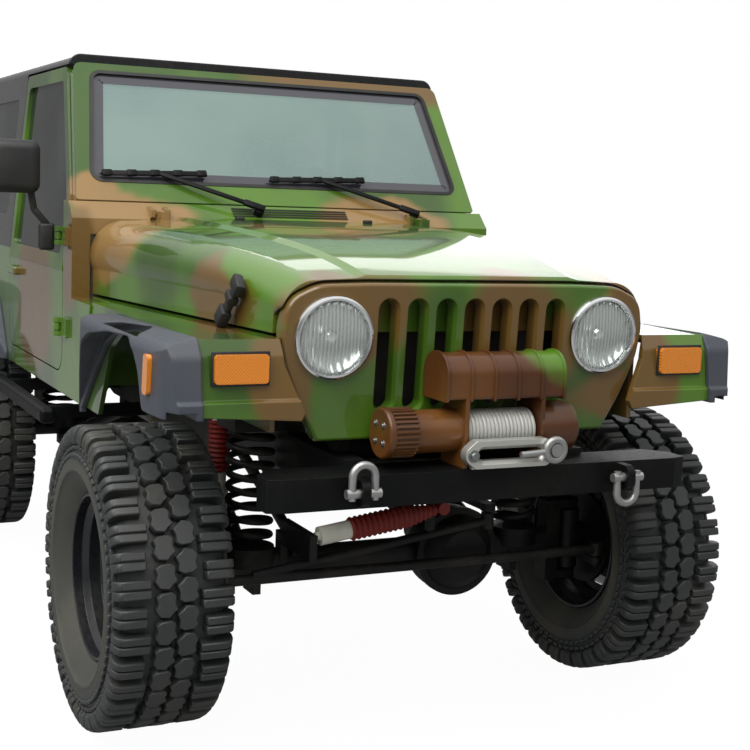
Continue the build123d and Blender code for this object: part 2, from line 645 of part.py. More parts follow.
def arch_points(grow):
    """Side view of the control box, flat below and round on top."""
    top = BOX_TOP_Z - 6 + grow
    half = BOX_R + grow
    low = BOX_LOW_Z - grow
    points = [(WINCH_Y - half, low, 8), (WINCH_Y + half, low, 8)]
    return points + [(WINCH_Y + half, top, half - 4), (WINCH_Y - half, top, half - 4)]


winch = prism_x(fin_points(), MOTOR_X0 + 18, MOTOR_X0 + 84)
winch += fillet(rod((MOTOR_X0, WINCH_Y, WINCH_Z), (MOTOR_X0 + 22, WINCH_Y, WINCH_Z), MOTOR_R + 8).edges(), 8)
winch += rod((MOTOR_X0 + 80, WINCH_Y, WINCH_Z), (WINCH_MID - DRUM_HALF, WINCH_Y, WINCH_Z), MOTOR_R - 2)
gear_end = rod((WINCH_MID + DRUM_HALF, WINCH_Y, WINCH_Z), (GEAR_X1, WINCH_Y, WINCH_Z), MOTOR_R + 10)
winch += fillet(gear_end.edges(), 10)
FOOT = [
    (WINCH_Y - 62, BUMPER_Z1),
    (WINCH_Y + 60, BUMPER_Z1),
    (WINCH_Y + 60, BOX_LOW_Z + 30, 20),
    (WINCH_Y - 62, BOX_LOW_Z + 30, 20),
]
for x0 in (WINCH_MID - flange_x, WINCH_MID + DRUM_HALF):
    winch += prism_x(FOOT, x0, x0 + FLANGE_T)
BOX_X0 = -140.0
BOX_X1 = 212.0
RIBS = 6
RIB_W = 7.0
winch += prism_x(arch_points(0), BOX_X0, BOX_X1)
for i in range(RIBS):
    rib_x = BOX_X0 + i * (BOX_X1 - BOX_X0 - RIB_W) / (RIBS - 1)
    winch += prism_x(arch_points(5), rib_x, rib_x + RIB_W)
keep("winch_housing", winch)
drum_gap = DRUM_HALF - FIT
drum = rod((WINCH_MID - drum_gap, WINCH_Y, WINCH_Z), (WINCH_MID + drum_gap, WINCH_Y, WINCH_Z), DRUM_R)
keep("winch_rope", drum)

# Hawse fairlead on a bracket, and the hook that rests on it
FAIR_Y0 = BUMPER_Y0 - 30
FAIR_Z = 822.0
FAIR_HALF = 150.0
FAIR_H = 38.0
BRACKET_T = 14.0
FAIR = [
    (FAIR_HALF, FAIR_Z, 26),
    (FAIR_HALF - 46, FAIR_Z + FAIR_H, 20),
    (-FAIR_HALF + 46, FAIR_Z + FAIR_H, 20),
    (-FAIR_HALF, FAIR_Z, 26),
    (-FAIR_HALF + 46, FAIR_Z - FAIR_H + 4, 20),
    (FAIR_HALF - 46, FAIR_Z - FAIR_H + 4, 20),
]
fairlead = prism_y([(WINCH_MID + x, z, r) for x, z, r in FAIR], FAIR_Y0, BUMPER_Y0)
slot_place = Plane(origin=(WINCH_MID, FAIR_Y0, FAIR_Z), x_dir=(1, 0, 0), z_dir=(0, -1, 0))
fairlead -= extrude(slot_place * SlotOverall(190, 30), amount=-60)
fairlead -= extrude(slot_place * SlotOverall(206, 46), amount=-10, taper=38)
bracket_y1 = WINCH_Y - 62
BRACKET_X = (WINCH_MID - 100, WINCH_MID + 100)
fairlead += box(*BRACKET_X, BUMPER_Y0 - LAP, bracket_y1, BUMPER_Z1, BUMPER_Z1 + BRACKET_T)
keep("fairlead", fairlead)
HOOK_X = WINCH_MID + 122
HOOK_R = 26.0
HOOK_WIRE = 10.0
hook_y = FAIR_Y0 - HOOK_WIRE
hook = Pos(HOOK_X, hook_y, FAIR_Z + 8) * Rot(90, 0, 0) * Torus(HOOK_R, HOOK_WIRE)
hook += rod((WINCH_MID + 20, hook_y, FAIR_Z), (HOOK_X - HOOK_R, hook_y, FAIR_Z + 4), HOOK_WIRE - 2)
hook += rod((HOOK_X, hook_y - 12, FAIR_Z + 8), (HOOK_X, hook_y + 6, FAIR_Z + 8), HOOK_R - HOOK_WIRE + LAP)
keep("tow_hook", hook - fairlead)

# Grille shell: leaning plate with seven round-ended slots and lamp holes
lean = Plane(origin=(0, GRILLE_Y, GRILLE_Z0), x_dir=(1, 0, 0), z_dir=(0, -1, -GRILLE_LEAN))
GRILLE_SIDE = [
    (429, 0), (475, 85, 90), (525, 199, 200), (536, 283, 120),
    (520, 362, 70), (440, 398, 140), (300, 402),
]
grille_face = on_plane(lean, mirrored(GRILLE_SIDE))
grille = extrude(grille_face, amount=GRILLE_T, dir=-lean.z_dir)
grille_front = grille.faces().sort_by(Axis((0, 0, 0), tuple(lean.z_dir)))[-1]
grille = fillet(grille_front.edges(), 9)
slot_h = SLOT_Z1 - SLOT_Z0
slot_mid = (SLOT_Z0 + SLOT_Z1) / 2 - GRILLE_Z0
SLOT_BEVEL = 6.0
for i in range(SLOTS):
    slot_x = (i - (SLOTS - 1) / 2) * SLOT_PITCH
    place = lean * Pos(slot_x, slot_mid, 0)
    grille -= extrude(place * SlotOverall(slot_h, SLOT_W, rotation=90), amount=GRILLE_T * 2, both=True)
    mouth = place * SlotOverall(slot_h + 2 * SLOT_BEVEL, SLOT_W + 2 * SLOT_BEVEL, rotation=90)
    grille -= extrude(mouth, amount=-SLOT_BEVEL * 2, taper=26)
lamps = []
for side in (-1, 1):
    centre = lean * Pos(side * LAMP_X, LAMP_Z - GRILLE_Z0, 0)
    grille -= extrude(centre * Circle(LAMP_R - LAMP_RING), amount=GRILLE_T * 2, both=True)
    bowl = extrude(centre * Circle(LAMP_R - LAMP_RING - FIT), amount=-GRILLE_T + 4)
    ring = extrude(centre * Circle(LAMP_R), amount=18)
    ring -= extrude(centre * Pos(0, 0, 6) * Circle(LAMP_R - LAMP_RING), amount=18)
    lens = extrude(centre * Circle(LAMP_R - LAMP_RING - FIT), amount=12)
    lamps.append(bowl + ring + lens)
keep("grille", grille)
keep("headlamps", *lamps)
RADIATOR_Y = -350.0
radiator = box(-RAIL_X, RAIL_X, RADIATOR_Y, RADIATOR_Y + 54, RAIL_FRONT_Z, RAIL_FRONT_Z + 355)
radiator += box(-RAIL_X, RAIL_X, GRILLE_Y, RADIATOR_Y + 10, GRILLE_Z0 + 10, GRILLE_Z0 + 40)
keep("radiator", largest(radiator - grille - extrude(grille_face, amount=GRILLE_T, dir=-lean.z_dir)))

# Front fenders: front wall with the signals, top plate, outer wall and inner apron
APRON_X = 532.0
CUT_LOW = (650.0, SILL_Z)
CUT_TOP = (560.0, FENDER_TOP_Z - 9)
PANEL = 4.0
WALL_T = 16.0
FENDER_LOW_Z = 921.0
LIP_Z = 954.0
LIP_Y = FENDER_Y - 20
FACE_Y = FENDER_Y - 10
BROW_Y = FENDER_Y + 6
BROW_Z = FENDER_TOP_Z - 40
fender_back = BROW_Y + WALL_T
cut_y = CUT_TOP[0] - PANEL
fender = prism_z(
    [(APRON_X, fender_back + 30), (APRON_X + 10, fender_back), (FENDER_X, fender_back), (FENDER_X, cut_y),
     (side_in - PANEL, cut_y), (side_in - PANEL, COWL_Y - 20), (APRON_X, COWL_Y - 20)],
    FENDER_TOP_Z - SHEET, FENDER_TOP_Z)
# Front wall: leaning face over a standing lip, with a rounded brow
FENDER_FACE = [
    (LIP_Y, FENDER_LOW_Z - 20), (LIP_Y, LIP_Z, 4), (FACE_Y, LIP_Z + 6, 4), (BROW_Y, BROW_Z, 30),
    (fender_back, FENDER_TOP_Z), (fender_back + LAP, FENDER_TOP_Z),
    (fender_back + LAP, FENDER_TOP_Z - WALL_T), (BROW_Y + WALL_T, BROW_Z - WALL_T),
    (FACE_Y + WALL_T, LIP_Z), (LIP_Y + WALL_T, FENDER_LOW_Z - 20),
]
front_wall = prism_x(FENDER_FACE, 480, FENDER_X)
front_wall &= prism_y(
    [(540, FENDER_TOP_Z), (FENDER_X, FENDER_TOP_Z), (FENDER_X, FENDER_LOW_Z),
     (492, 905), (482, 926), (532, 1040)],
    LIP_Y, fender_back + 2 * LAP)
fender += front_wall
fender += prism_x(
    [(LIP_Y + LAP, FENDER_LOW_Z), (FACE_Y + LAP, LIP_Z), (BROW_Y + LAP, BROW_Z - 10),
     (fender_back, FENDER_TOP_Z), (cut_y, FENDER_TOP_Z), (CUT_LOW[0] - PANEL, SILL_Z), (470, SILL_Z),
     (330, 1000, 60), (230, 1050, 60), (-200, 1050, 60), (-300, 1000, 60), (-340, FENDER_LOW_Z)],
    FENDER_X - SHEET, FENDER_X)
apron_low = tower_top + 15
fender += box(APRON_X, APRON_X + SHEET, FENDER_Y + 60, COWL_Y - 20, apron_low, FENDER_TOP_Z)
fender -= extrude(grille_face, amount=GRILLE_T + GAP, dir=-lean.z_dir)

# Wheel arch flares, hollow on the underside
ARCH_FRONT = [
    (610, SILL_Z - 30), (610, SILL_Z), (440, 925, 200), (330, 1010, 120), (224, 1049, 160), (35, 1073, 300),
    (-163, 1081, 140), (-234, 1054, 80), (-277, 1013, 80), (-321, 916, 20), (-700, 916), (-700, SILL_Z - 30),
]
FLARE_PROUD = 14.0
FLARE_ROUND = 44.0
FLARE_FRONT_SIDE = [
    (LIP_Y - FLARE_PROUD, 900), (LIP_Y - FLARE_PROUD, LIP_Z, 4), (FACE_Y - FLARE_PROUD, LIP_Z + 6, 4),
    (BROW_Y - FLARE_PROUD, BROW_Z, 40), (fender_back, FENDER_TOP_Z + 4, 30), (300, FENDER_TOP_Z - 8, 120),
    (420, 1050, 120), (520, 960, 120), (660, 790, 20), (660, SILL_Z - 20),
]
FLARE_FRONT_PLAN = [
    (FENDER_X + FIT, -545), (FLARE_X - 52, -545, 30), (FLARE_X - 8, -460, 80), (FLARE_X, -380),
    (FLARE_X, 300, 200), (FLARE_X - 45, 500, 200), (FENDER_X + 11, 660), (FENDER_X + FIT, 660),
]
ARCH_REAR = [
    (-470, SILL_Z - 60), (-470, SILL_Z), (-310, 960, 120), (-210, 1010, 120),
    (210, 1010, 120), (310, 960, 120), (425, SILL_Z), (425, SILL_Z - 60),
]
FLARE_REAR_SIDE = [
    (-540, SILL_Z), (-540, 800, 30), (-390, 990, 100), (-250, 1060, 100), (240, 1060, 100), (370, 1000, 100),
    (470, 800, 30), (470, SILL_Z),
]
FLARE_REAR_PLAN = [
    (SIDE_X + FIT, -540), (SIDE_X + 12, -540), (FLARE_X, -360, 200), (FLARE_X, 340, 200), (SIDE_X + 12, 470),
    (SIDE_X + FIT, 470),
]


def flare(side_view, plan, arch, inner_x):
    """Arch moulding from its side, plan and front outlines, with a rounded rim and a hollow underside."""
    shape = prism_x(side_view, inner_x, FLARE_X + LAP) & prism_z(plan, SILL_Z - 20, ROOF_Z)
    top = max(point[1] for point in side_view)
    low = min(point[1] for point in side_view) - LAP
    front = [(inner_x, low), (FLARE_X + LAP, low), (FLARE_X + LAP, top - FLARE_ROUND / 2, FLARE_ROUND)]
    front.append((inner_x, top + LAP))
    start = min(point[0] for point in side_view) - LAP
    shape &= prism_y(front, start, max(point[0] for point in side_view) + LAP)
    shape -= prism_x(arch, inner_x - LAP, FLARE_X + LAP)
    mid_y = sum(p[0] for p in side_view) / len(side_view)
    hollow = []
    for point in arch:
        y = mid_y + (point[0] - mid_y) * 1.03
        z = AXLE_Z + (point[1] - AXLE_Z) * 1.035
        hollow.append((y, z, *point[2:]))
    shape -= prism_x(hollow, inner_x + FLARE_T, FLARE_X - FLARE_T)
    return largest(shape)


tub_edge = [(CUT_LOW[0] - PANEL, SILL_Z - 30), (CUT_LOW[0] - PANEL, SILL_Z), (cut_y, FENDER_TOP_Z + 20)]
tub_edge += [(COWL_Y, FENDER_TOP_Z + 20), (COWL_Y, SILL_Z - 30)]
flare_front = flare(FLARE_FRONT_SIDE, FLARE_FRONT_PLAN, ARCH_FRONT, FENDER_X + FIT)
flare_front = largest(flare_front - prism_x(tub_edge, FENDER_X, SIDE_X + FIT))
arch_rear = [(y + WHEELBASE, *rest) for y, *rest in ARCH_REAR]
rear_side = [(y + WHEELBASE, *rest) for y, *rest in FLARE_REAR_SIDE]
rear_plan = [(p[0], p[1] + WHEELBASE, *p[2:]) for p in FLARE_REAR_PLAN]
flare_rear = flare(rear_side, rear_plan, arch_rear, SIDE_X + FIT)

# Signals on the fender fronts and markers on the flares
SIGNAL_X = 650.0
SIGNAL_HALF = 69.0
SIGNAL_Z0 = 1000.0
SIGNAL_Z1 = 1072.0
LAMP_T = 20.0
signal_outline = [(SIGNAL_X - SIGNAL_HALF, SIGNAL_Z0, 10), (SIGNAL_X + SIGNAL_HALF, SIGNAL_Z0, 10)]
signal_outline += [(SIGNAL_X + SIGNAL_HALF, SIGNAL_Z1, 10), (SIGNAL_X - SIGNAL_HALF, SIGNAL_Z1, 10)]
signal = prism_y(signal_outline, FENDER_Y - LAMP_T, BROW_Y + 8)
MARKER = [(-392, 962, 12), (-352, 962, 12), (-362, 1062, 12), (-400, 1062, 12)]
marker = prism_x(MARKER, FLARE_X - LAMP_T / 2, FLARE_X + LAMP_T / 2)
keep("front_fenders", *[largest(piece) for piece in pair(fender - signal)])
keep("fender_flares", *pair(largest(flare_front - marker)), *pair(flare_rear))
keep("amber_lamps", *pair(signal), *pair(marker))

# Hood: smooth loft with a round shoulder and a raised middle
HOOD_Y1 = COWL_Y - GAP
# Columns: y, half width, crease z, then x and z of the shoulder, top edge, bulge foot and bulge edge
HOOD_SECTIONS = [
    (-446, 530, 1180, 505, 1222, 440, 1247, 330, 1252, 300, 1258),
    (-254, 555, 1186, 537, 1250, 470, 1284, 345, 1290, 318, 1299),
    (-20, 585, 1187, 567, 1278, 500, 1312, 370, 1318, 343, 1328),
    (314, 627, 1189, 608, 1300, 540, 1333, 400, 1339, 372, 1349),
    (HOOD_Y1, 689, 1192, 668, 1313, 598, 1348, 440, 1354, 410, 1364),
]


def hood_section(row, inset, y):
    """Front view face of the hood, drawn in by the inset for the inside."""
    half_w, crease, sh_x, sh_z, top_x, top_z, foot_x, foot_z, edge_x, edge_z = row
    low = HOOD_LOW_Z - inset
    side = [(half_w - inset, low), (half_w - inset, crease - inset), (sh_x - inset, sh_z - inset)]
    corners = ((top_x, top_z), (foot_x, foot_z), (edge_x, edge_z))
    top = [(x - inset, z - inset) for x, z in corners]
    right = [Vector(x, y, z) for x, z in side + top]
    left = [Vector(-x, y, z) for x, z in side + top]
    edges = [
        Edge.make_line(left[0], right[0]),
        Edge.make_line(right[0], right[1]),
        Edge.make_three_point_arc(right[1], right[2], right[3]),
        Edge.make_line(right[3], right[4]),
        Edge.make_line(right[4], right[5]),
        Edge.make_line(right[5], left[5]),
        Edge.make_line(left[5], left[4]),
        Edge.make_line(left[4], left[3]),
        Edge.make_three_point_arc(left[3], left[2], left[1]),
        Edge.make_line(left[1], left[0]),
    ]
    return Face(Wire(edges))


hood_out = loft([hood_section(row[1:], 0, row[0]) for row in HOOD_SECTIONS])
hood_in = loft([hood_section(row[1:], HOOD_T, row[0]) for row in HOOD_SECTIONS])
hood_in &= box(-SIDE_X, SIDE_X, GRILLE_Y + 70, COWL_Y, HOOD_LOW_Z - 2 * HOOD_T, ROOF_Z)
NOSE = [(-446, 1050), (-446, 1258, 34), (-395, 1278, 60), (-300, 1340), (900, 1560), (900, 1050)]
hood = (hood_out & prism_x(NOSE, -SIDE_X, SIDE_X)) - hood_in
grille_room = extrude(offset(grille_face, GAP + 1), amount=GRILLE_T + 40, dir=-lean.z_dir)
hood = largest(hood - Pos(0, -20, 0) * grille_room)
HOOD_PIN = (797.0, 1372.0)
HINGE_PIN_R = 8.0
EAR_GAP = 4.0
EAR_T = 14.0
KNUCKLE_HALF = 14.0
HINGE_SPOTS = [-470.0, 470.0]
for pin_x in HINGE_SPOTS:
    knuckle_x = (pin_x - KNUCKLE_HALF, pin_x + KNUCKLE_HALF)
    hood += box(*knuckle_x, 730, HOOD_PIN[0], 1338, HOOD_PIN[1] + HINGE_PIN_R)
    reach = KNUCKLE_HALF + EAR_GAP + EAR_T
    hood += rod((pin_x - reach, *HOOD_PIN), (pin_x + reach, *HOOD_PIN), HINGE_PIN_R)
    hood += rod((pin_x - KNUCKLE_HALF, *HOOD_PIN), (pin_x + KNUCKLE_HALF, *HOOD_PIN), HINGE_PIN_R + 3)
keep("hood", hood)

# Body tub: floor, sides with door and wheel openings, cowl, firewall and rear corners
DOOR_LOWER = [(DOOR_Y0, DOOR_Z0, DOOR_ROUND), (DOOR_Y1, DOOR_Z0, DOOR_ROUND)]
DOOR_LOWER += [(DOOR_Y1, BELT_Z), (DOOR_Y0, BELT_Z)]
hole_round = DOOR_ROUND + GAP
door_hole = [(DOOR_Y0 - GAP, DOOR_Z0 - GAP, hole_round), (DOOR_Y1 + GAP, DOOR_Z0 - GAP, hole_round)]
door_hole += [(DOOR_Y1 + GAP, COWL_Z + 100), (DOOR_Y0 - GAP, COWL_Z + 100)]
COWL_LIP = COWL_Z - 53
COWL = [(COWL_Y, COWL_LIP), (SCREEN_LOW_Y, COWL_Z), (DOOR_Y0 - GAP, COWL_Z)]
SIDE_OUTLINE = [CUT_LOW, CUT_TOP, (COWL_Y, CUT_TOP[1])] + COWL
SIDE_OUTLINE += [(DOOR_Y0 - GAP, BELT_Z), (TAIL_Y, BELT_Z), (TAIL_Y, SILL_Z)]
tub_side = prism_x(SIDE_OUTLINE, side_in, SIDE_X)
tub_side -= prism_x(door_hole, side_in - LAP, SIDE_X + LAP)
tub_side -= prism_x(arch_rear, side_in - LAP, SIDE_X + LAP)
WELL_X = 520.0
WELL_T = 20.0
WELL_Y0 = WHEELBASE - 490.0
WELL_Y1 = WHEELBASE + 435.0
WELL_TOP = 1016.0
CORNER_X = 560.0
CORNER_T = 40.0
well = box(WELL_X, side_in + LAP, WELL_Y0, WELL_Y1, FLOOR_Z, WELL_TOP + WELL_T)
hollow_y = (WELL_Y0 + WELL_T, WELL_Y1 - WELL_T)
well -= box(WELL_X + WELL_T, side_in + 2 * LAP, *hollow_y, FLOOR_Z - LAP, WELL_TOP)
corner = box(CORNER_X, SIDE_X, TAIL_Y - CORNER_T, TAIL_Y, SILL_Z, BELT_Z)
half_floor = box(0, side_in + LAP, COWL_Y - 20, TAIL_Y, FLOOR_Z, FLOOR_Z + FLOOR_T)
half_floor -= box(WELL_X + WELL_T, side_in + 2 * LAP, *hollow_y, FLOOR_Z - LAP, FLOOR_Z + FLOOR_T + LAP)
half_tub = tub_side + well + corner + half_floor
cowl = prism_x([(COWL_Y, COWL_LIP - 52)] + COWL + [(DOOR_Y0 - GAP, COWL_Z - 65)], -SIDE_X, SIDE_X)
firewall = box(-side_in - LAP, side_in + LAP, COWL_Y - 20, COWL_Y + 4, FLOOR_Z, CUT_TOP[1])
firewall += box(-580, 580, COWL_Y - 20, COWL_Y + 4, CUT_TOP[1] - GAP, COWL_LIP - 56)
sill_half = CORNER_X + CORNER_T
rear_sill = box(-sill_half, sill_half, TAIL_Y - CORNER_T, TAIL_Y, SILL_Z, FLOOR_Z + FLOOR_T)
tub = half_tub + flip(half_tub) + cowl + firewall + rear_sill
upright = tub.edges().filter_by(Axis.Z).filter_by(lambda e: e.center().Y > TAIL_Y - 1)
tub = fillet(upright.filter_by(lambda e: abs(abs(e.center().X) - SIDE_X) < 1), 25)
HOOD_EAR = [(785, 1361), (785, 1384), (830, 1394), (845, 1388), (815, 1350), (804, 1350)]
for pin_x in HINGE_SPOTS:
    for ear_x in (pin_x - KNUCKLE_HALF - EAR_GAP - EAR_T, pin_x + KNUCKLE_HALF + EAR_GAP):
        tub += prism_x(HOOD_EAR, ear_x, ear_x + EAR_T)
tub -= rod((-600, *HOOD_PIN), (600, *HOOD_PIN), HINGE_PIN_R + FIT)
HINGE_R = 9.0
HINGE_Z = [995.0, 1290.0]
HINGE_X = SIDE_X + 17.0
HINGE_Y = DOOR_Y0 - 10.0
EAR_Z0 = 14.0
EAR_Z1 = 30.0
for hinge_z in HINGE_Z:
    leaf = box(SIDE_X - LAP, SIDE_X + 11, HINGE_Y - 85, HINGE_Y - 20, hinge_z - EAR_Z1, hinge_z + EAR_Z1)
    for low in (-EAR_Z1, EAR_Z0):
        z0 = hinge_z + low
        z1 = z0 + EAR_Z1 - EAR_Z0
        leaf += box(SIDE_X - LAP, HINGE_X, HINGE_Y - 21, HINGE_Y, z0, z1)
        leaf += rod((HINGE_X, HINGE_Y, z0), (HINGE_X, HINGE_Y, z1), HINGE_R + 5)
    leaf -= rod((HINGE_X, HINGE_Y, hinge_z - 40), (HINGE_X, HINGE_Y, hinge_z + 40), HINGE_R + FIT)
    tub += leaf + flip(leaf)
GATE_PIN = (-CORNER_X, TAIL_Y + 18.0)
GATE_HINGE_Z = [925.0, 1120.0]
for hinge_z in GATE_HINGE_Z:
    leaf = box(-CORNER_X - 48, -CORNER_X - 20, TAIL_Y - LAP, TAIL_Y + 12, hinge_z - EAR_Z1, hinge_z + EAR_Z1)
    for low in (-EAR_Z1, EAR_Z0):
        z0 = hinge_z + low
        z1 = z0 + EAR_Z1 - EAR_Z0
        leaf += box(-CORNER_X - 21, GATE_PIN[0], TAIL_Y - LAP, GATE_PIN[1], z0, z1)
        leaf += rod((*GATE_PIN, z0), (*GATE_PIN, z1), HINGE_R + 4)
    leaf -= rod((*GATE_PIN, hinge_z - 40), (*GATE_PIN, hinge_z + 40), HINGE_R + FIT)
    tub += leaf
keep("body_tub", tub)

# Windscreen frame and glass on the raked plane
screen_up = Vector(0, SCREEN_RUN, SCREEN_RISE).normalized()
rake_len = math.hypot(SCREEN_RUN, SCREEN_RISE)
screen_foot = (0, SCREEN_LOW_Y, SCREEN_LOW_Z)
screen = Plane(origin=screen_foot, x_dir=(1, 0, 0), z_dir=Vector(1, 0, 0).cross(screen_up))
GLASS_LOW = 68.0
GLASS_EDGE = 28.0
GLASS_SIDE = 52.0
GLASS_ROUND = 40.0
screen_outer = mirrored([(SCREEN_LOW_X, 0, 10), (SCREEN_TOP_X, rake_len, 30)])
screen_frame = extrude(on_plane(screen, screen_outer), amount=SCREEN_T, dir=-screen.z_dir)
screen_hole = mirrored([
    (SCREEN_LOW_X - GLASS_SIDE, GLASS_LOW, GLASS_ROUND),
    (SCREEN_TOP_X - GLASS_SIDE, rake_len - GLASS_EDGE, GLASS_ROUND),
])
screen_frame -= extrude(on_plane(screen, screen_hole), amount=SCREEN_T + GAP, dir=-screen.z_dir)
screen_frame -= box(-SIDE_X, SIDE_X, COWL_Y - 100, COWL_Y + 200, COWL_Z - 100, COWL_Z + FIT)
keep("windshield_frame", screen_frame)
pane_face = offset(on_plane(screen.offset(-8), screen_hole), -FIT)
keep("windshield_glass", extrude(pane_face, amount=PANE_T, dir=-screen.z_dir))

# Hardtop: rear shell with three windows and the roof panel over the doors
TOP_Y0 = DOOR_Y1 + GAP
TOP_RAKE = 90.0
TOP_ROUND = 50.0
belt = BELT_Z + FIT


def top_section(z, x, y1, inset, radius):
    """Plan face of the hardtop at one height."""
    points = [(x - inset, TOP_Y0 + inset), (x - inset, y1 - inset, radius)]
    return soft_face(mirrored(points), lambda p: Vector(p.X, p.Y, z))


def top_shell(inset, z0, z1, radius):
    """Tapered block of the hardtop, drawn in by the inset."""
    low = top_section(z0, SIDE_X, TAIL_Y, inset, radius)
    high = top_section(z1, ROOF_X, TAIL_Y - TOP_RAKE, inset, radius)
    return loft([low, high], ruled=True)


ROOF_FRONT = SCREEN_TOP_Y + 30
across = mirrored([(SIDE_X, belt), (ROOF_X, ROOF_Z, ROOF_ROUND)])
lengthwise = [(ROOF_FRONT, belt), (TAIL_Y, belt)]
lengthwise += [(TAIL_Y - TOP_RAKE, ROOF_Z, ROOF_ROUND), (ROOF_FRONT, ROOF_Z, 20)]
hardtop = prism_y(across, ROOF_FRONT, TAIL_Y) & prism_x(lengthwise, -SIDE_X, SIDE_X)
hardtop -= box(-SIDE_X, SIDE_X, ROOF_FRONT - LAP, TOP_Y0, belt - LAP, ROOF_Z - TOP_T)
hardtop -= top_shell(TOP_T, belt - LAP, ROOF_Z - TOP_T, TOP_ROUND - TOP_T + 10)
door_side = ROOF_X - 60
hardtop -= box(-door_side, door_side, TOP_Y0 - GAP, TOP_Y0 + TOP_T + LAP, belt - 2, ROOF_Z - TOP_T)
GLASS_Z0 = BELT_Z + 124
REAR_GLASS_Z0 = BELT_Z + 64
GLASS_Z1 = ROOF_Z - 123
SIDE_GLASS = [
    (TOP_Y0 + 110, GLASS_Z0, 40), (TAIL_Y - 150, GLASS_Z0, 40),
    (TAIL_Y - 190, GLASS_Z1, 40), (TOP_Y0 + 110, GLASS_Z1, 40),
]
REAR_GLASS = [(-520, REAR_GLASS_Z0, 40), (520, REAR_GLASS_Z0, 40), (490, GLASS_Z1, 40), (-490, GLASS_Z1, 40)]
side_span = (ROOF_X - 85, SIDE_X + 45)
rear_span = (TAIL_Y - 200, TAIL_Y + 50)
side_cut = prism_x(SIDE_GLASS, *side_span)
hardtop = hardtop - side_cut - flip(side_cut) - prism_y(REAR_GLASS, *rear_span)
keep("hardtop", hardtop)
PANE_IN = 14.0
thin = top_shell(PANE_IN, belt, ROOF_Z, TOP_ROUND - PANE_IN)
thin -= top_shell(PANE_IN + PANE_T, belt, ROOF_Z, TOP_ROUND - PANE_IN - PANE_T)
side_pane = thin & prism_x(SIDE_GLASS, *side_span, -FIT)
rear_pane = thin & prism_y(REAR_GLASS, *rear_span, -FIT)
keep("hardtop_glass", *pair(side_pane), rear_pane)

# Doors: lower shell, window frame leaning in, outside hinges and a handle
FRAME_T = 34.0
FRAME_W = 50.0
SLANT = 252.0
door_top = ROOF_Z - TOP_T - GAP - BELT_Z
lean_deg = math.degrees(math.atan2(SIDE_X - ROOF_X, ROOF_Z - BELT_Z))
slant_low = COWL_Z + 20 - BELT_Z
WINDOW_FRAME = [
    (DOOR_Y0, -30), (DOOR_Y0, slant_low), (DOOR_Y0 + SLANT, door_top, 30),
    (DOOR_Y1, door_top, 30), (DOOR_Y1, -30),
]
WINDOW = [
    (DOOR_Y0 + FRAME_W, 22, 20), (DOOR_Y0 + FRAME_W, slant_low - 5, 20),
    (DOOR_Y0 + SLANT + 24, door_top - FRAME_W + 4, 30),
    (DOOR_Y1 - FRAME_W, door_top - FRAME_W + 4, 30), (DOOR_Y1 - FRAME_W, 22, 20),
]
upper = prism_x(WINDOW_FRAME, -FRAME_T, 0) - prism_x(WINDOW, -FRAME_T - LAP, LAP)
pane = prism_x(WINDOW, -PANE_IN - PANE_T, -PANE_IN, -FIT)
tilt = Pos(SIDE_X, 0, BELT_Z) * Rot(0, -lean_deg, 0)
door = prism_x(DOOR_LOWER, side_in, SIDE_X) + tilt * upper
STRAP = 11.0
STRAP_L = 50.0
for hinge_z in HINGE_Z:
    door += rod((HINGE_X, HINGE_Y, hinge_z - EAR_Z1), (HINGE_X, HINGE_Y, hinge_z + EAR_Z1), HINGE_R)
    door += rod((HINGE_X, HINGE_Y, hinge_z - STRAP), (HINGE_X, HINGE_Y, hinge_z + STRAP), HINGE_R + 4)
    strap_z = (hinge_z - STRAP, hinge_z + STRAP)
    door += box(SIDE_X + 3, HINGE_X + 6, HINGE_Y, HINGE_Y + STRAP_L, *strap_z)
    door += box(SIDE_X - 20, HINGE_X + 6, DOOR_Y0 + 2, HINGE_Y + STRAP_L, *strap_z)
handle = soft_box(SIDE_X - 10, SIDE_X + 24, DOOR_Y1 - 190, DOOR_Y1 - 60, BELT_Z - 92, BELT_Z - 62, 8)
handle -= box(SIDE_X, SIDE_X + 14, DOOR_Y1 - 165, DOOR_Y1 - 85, BELT_Z - 100, BELT_Z - 60)
door += handle
keep("door_left", door)
keep("door_right", flip(door))
keep("door_glass_left", tilt * pane)
keep("door_glass_right", flip(tilt * pane))
mirror_head = soft_box(MIRROR_X1 - 170, MIRROR_X1, HINGE_Y - 35, HINGE_Y + 45, 1425, 1590, 22)
mirror_head += box(790, 830, HINGE_Y + 15, HINGE_Y + 40, 1318, 1450)
mirror_head += box(HINGE_X + 6, 830, HINGE_Y + 15, HINGE_Y + STRAP_L + 10, 1240, 1330)
mirror_head -= box(HINGE_X, HINGE_X + 6, HINGE_Y, HINGE_Y + STRAP_L + 20, 1200, 1340)
keep("mirror_right", flip(mirror_head))

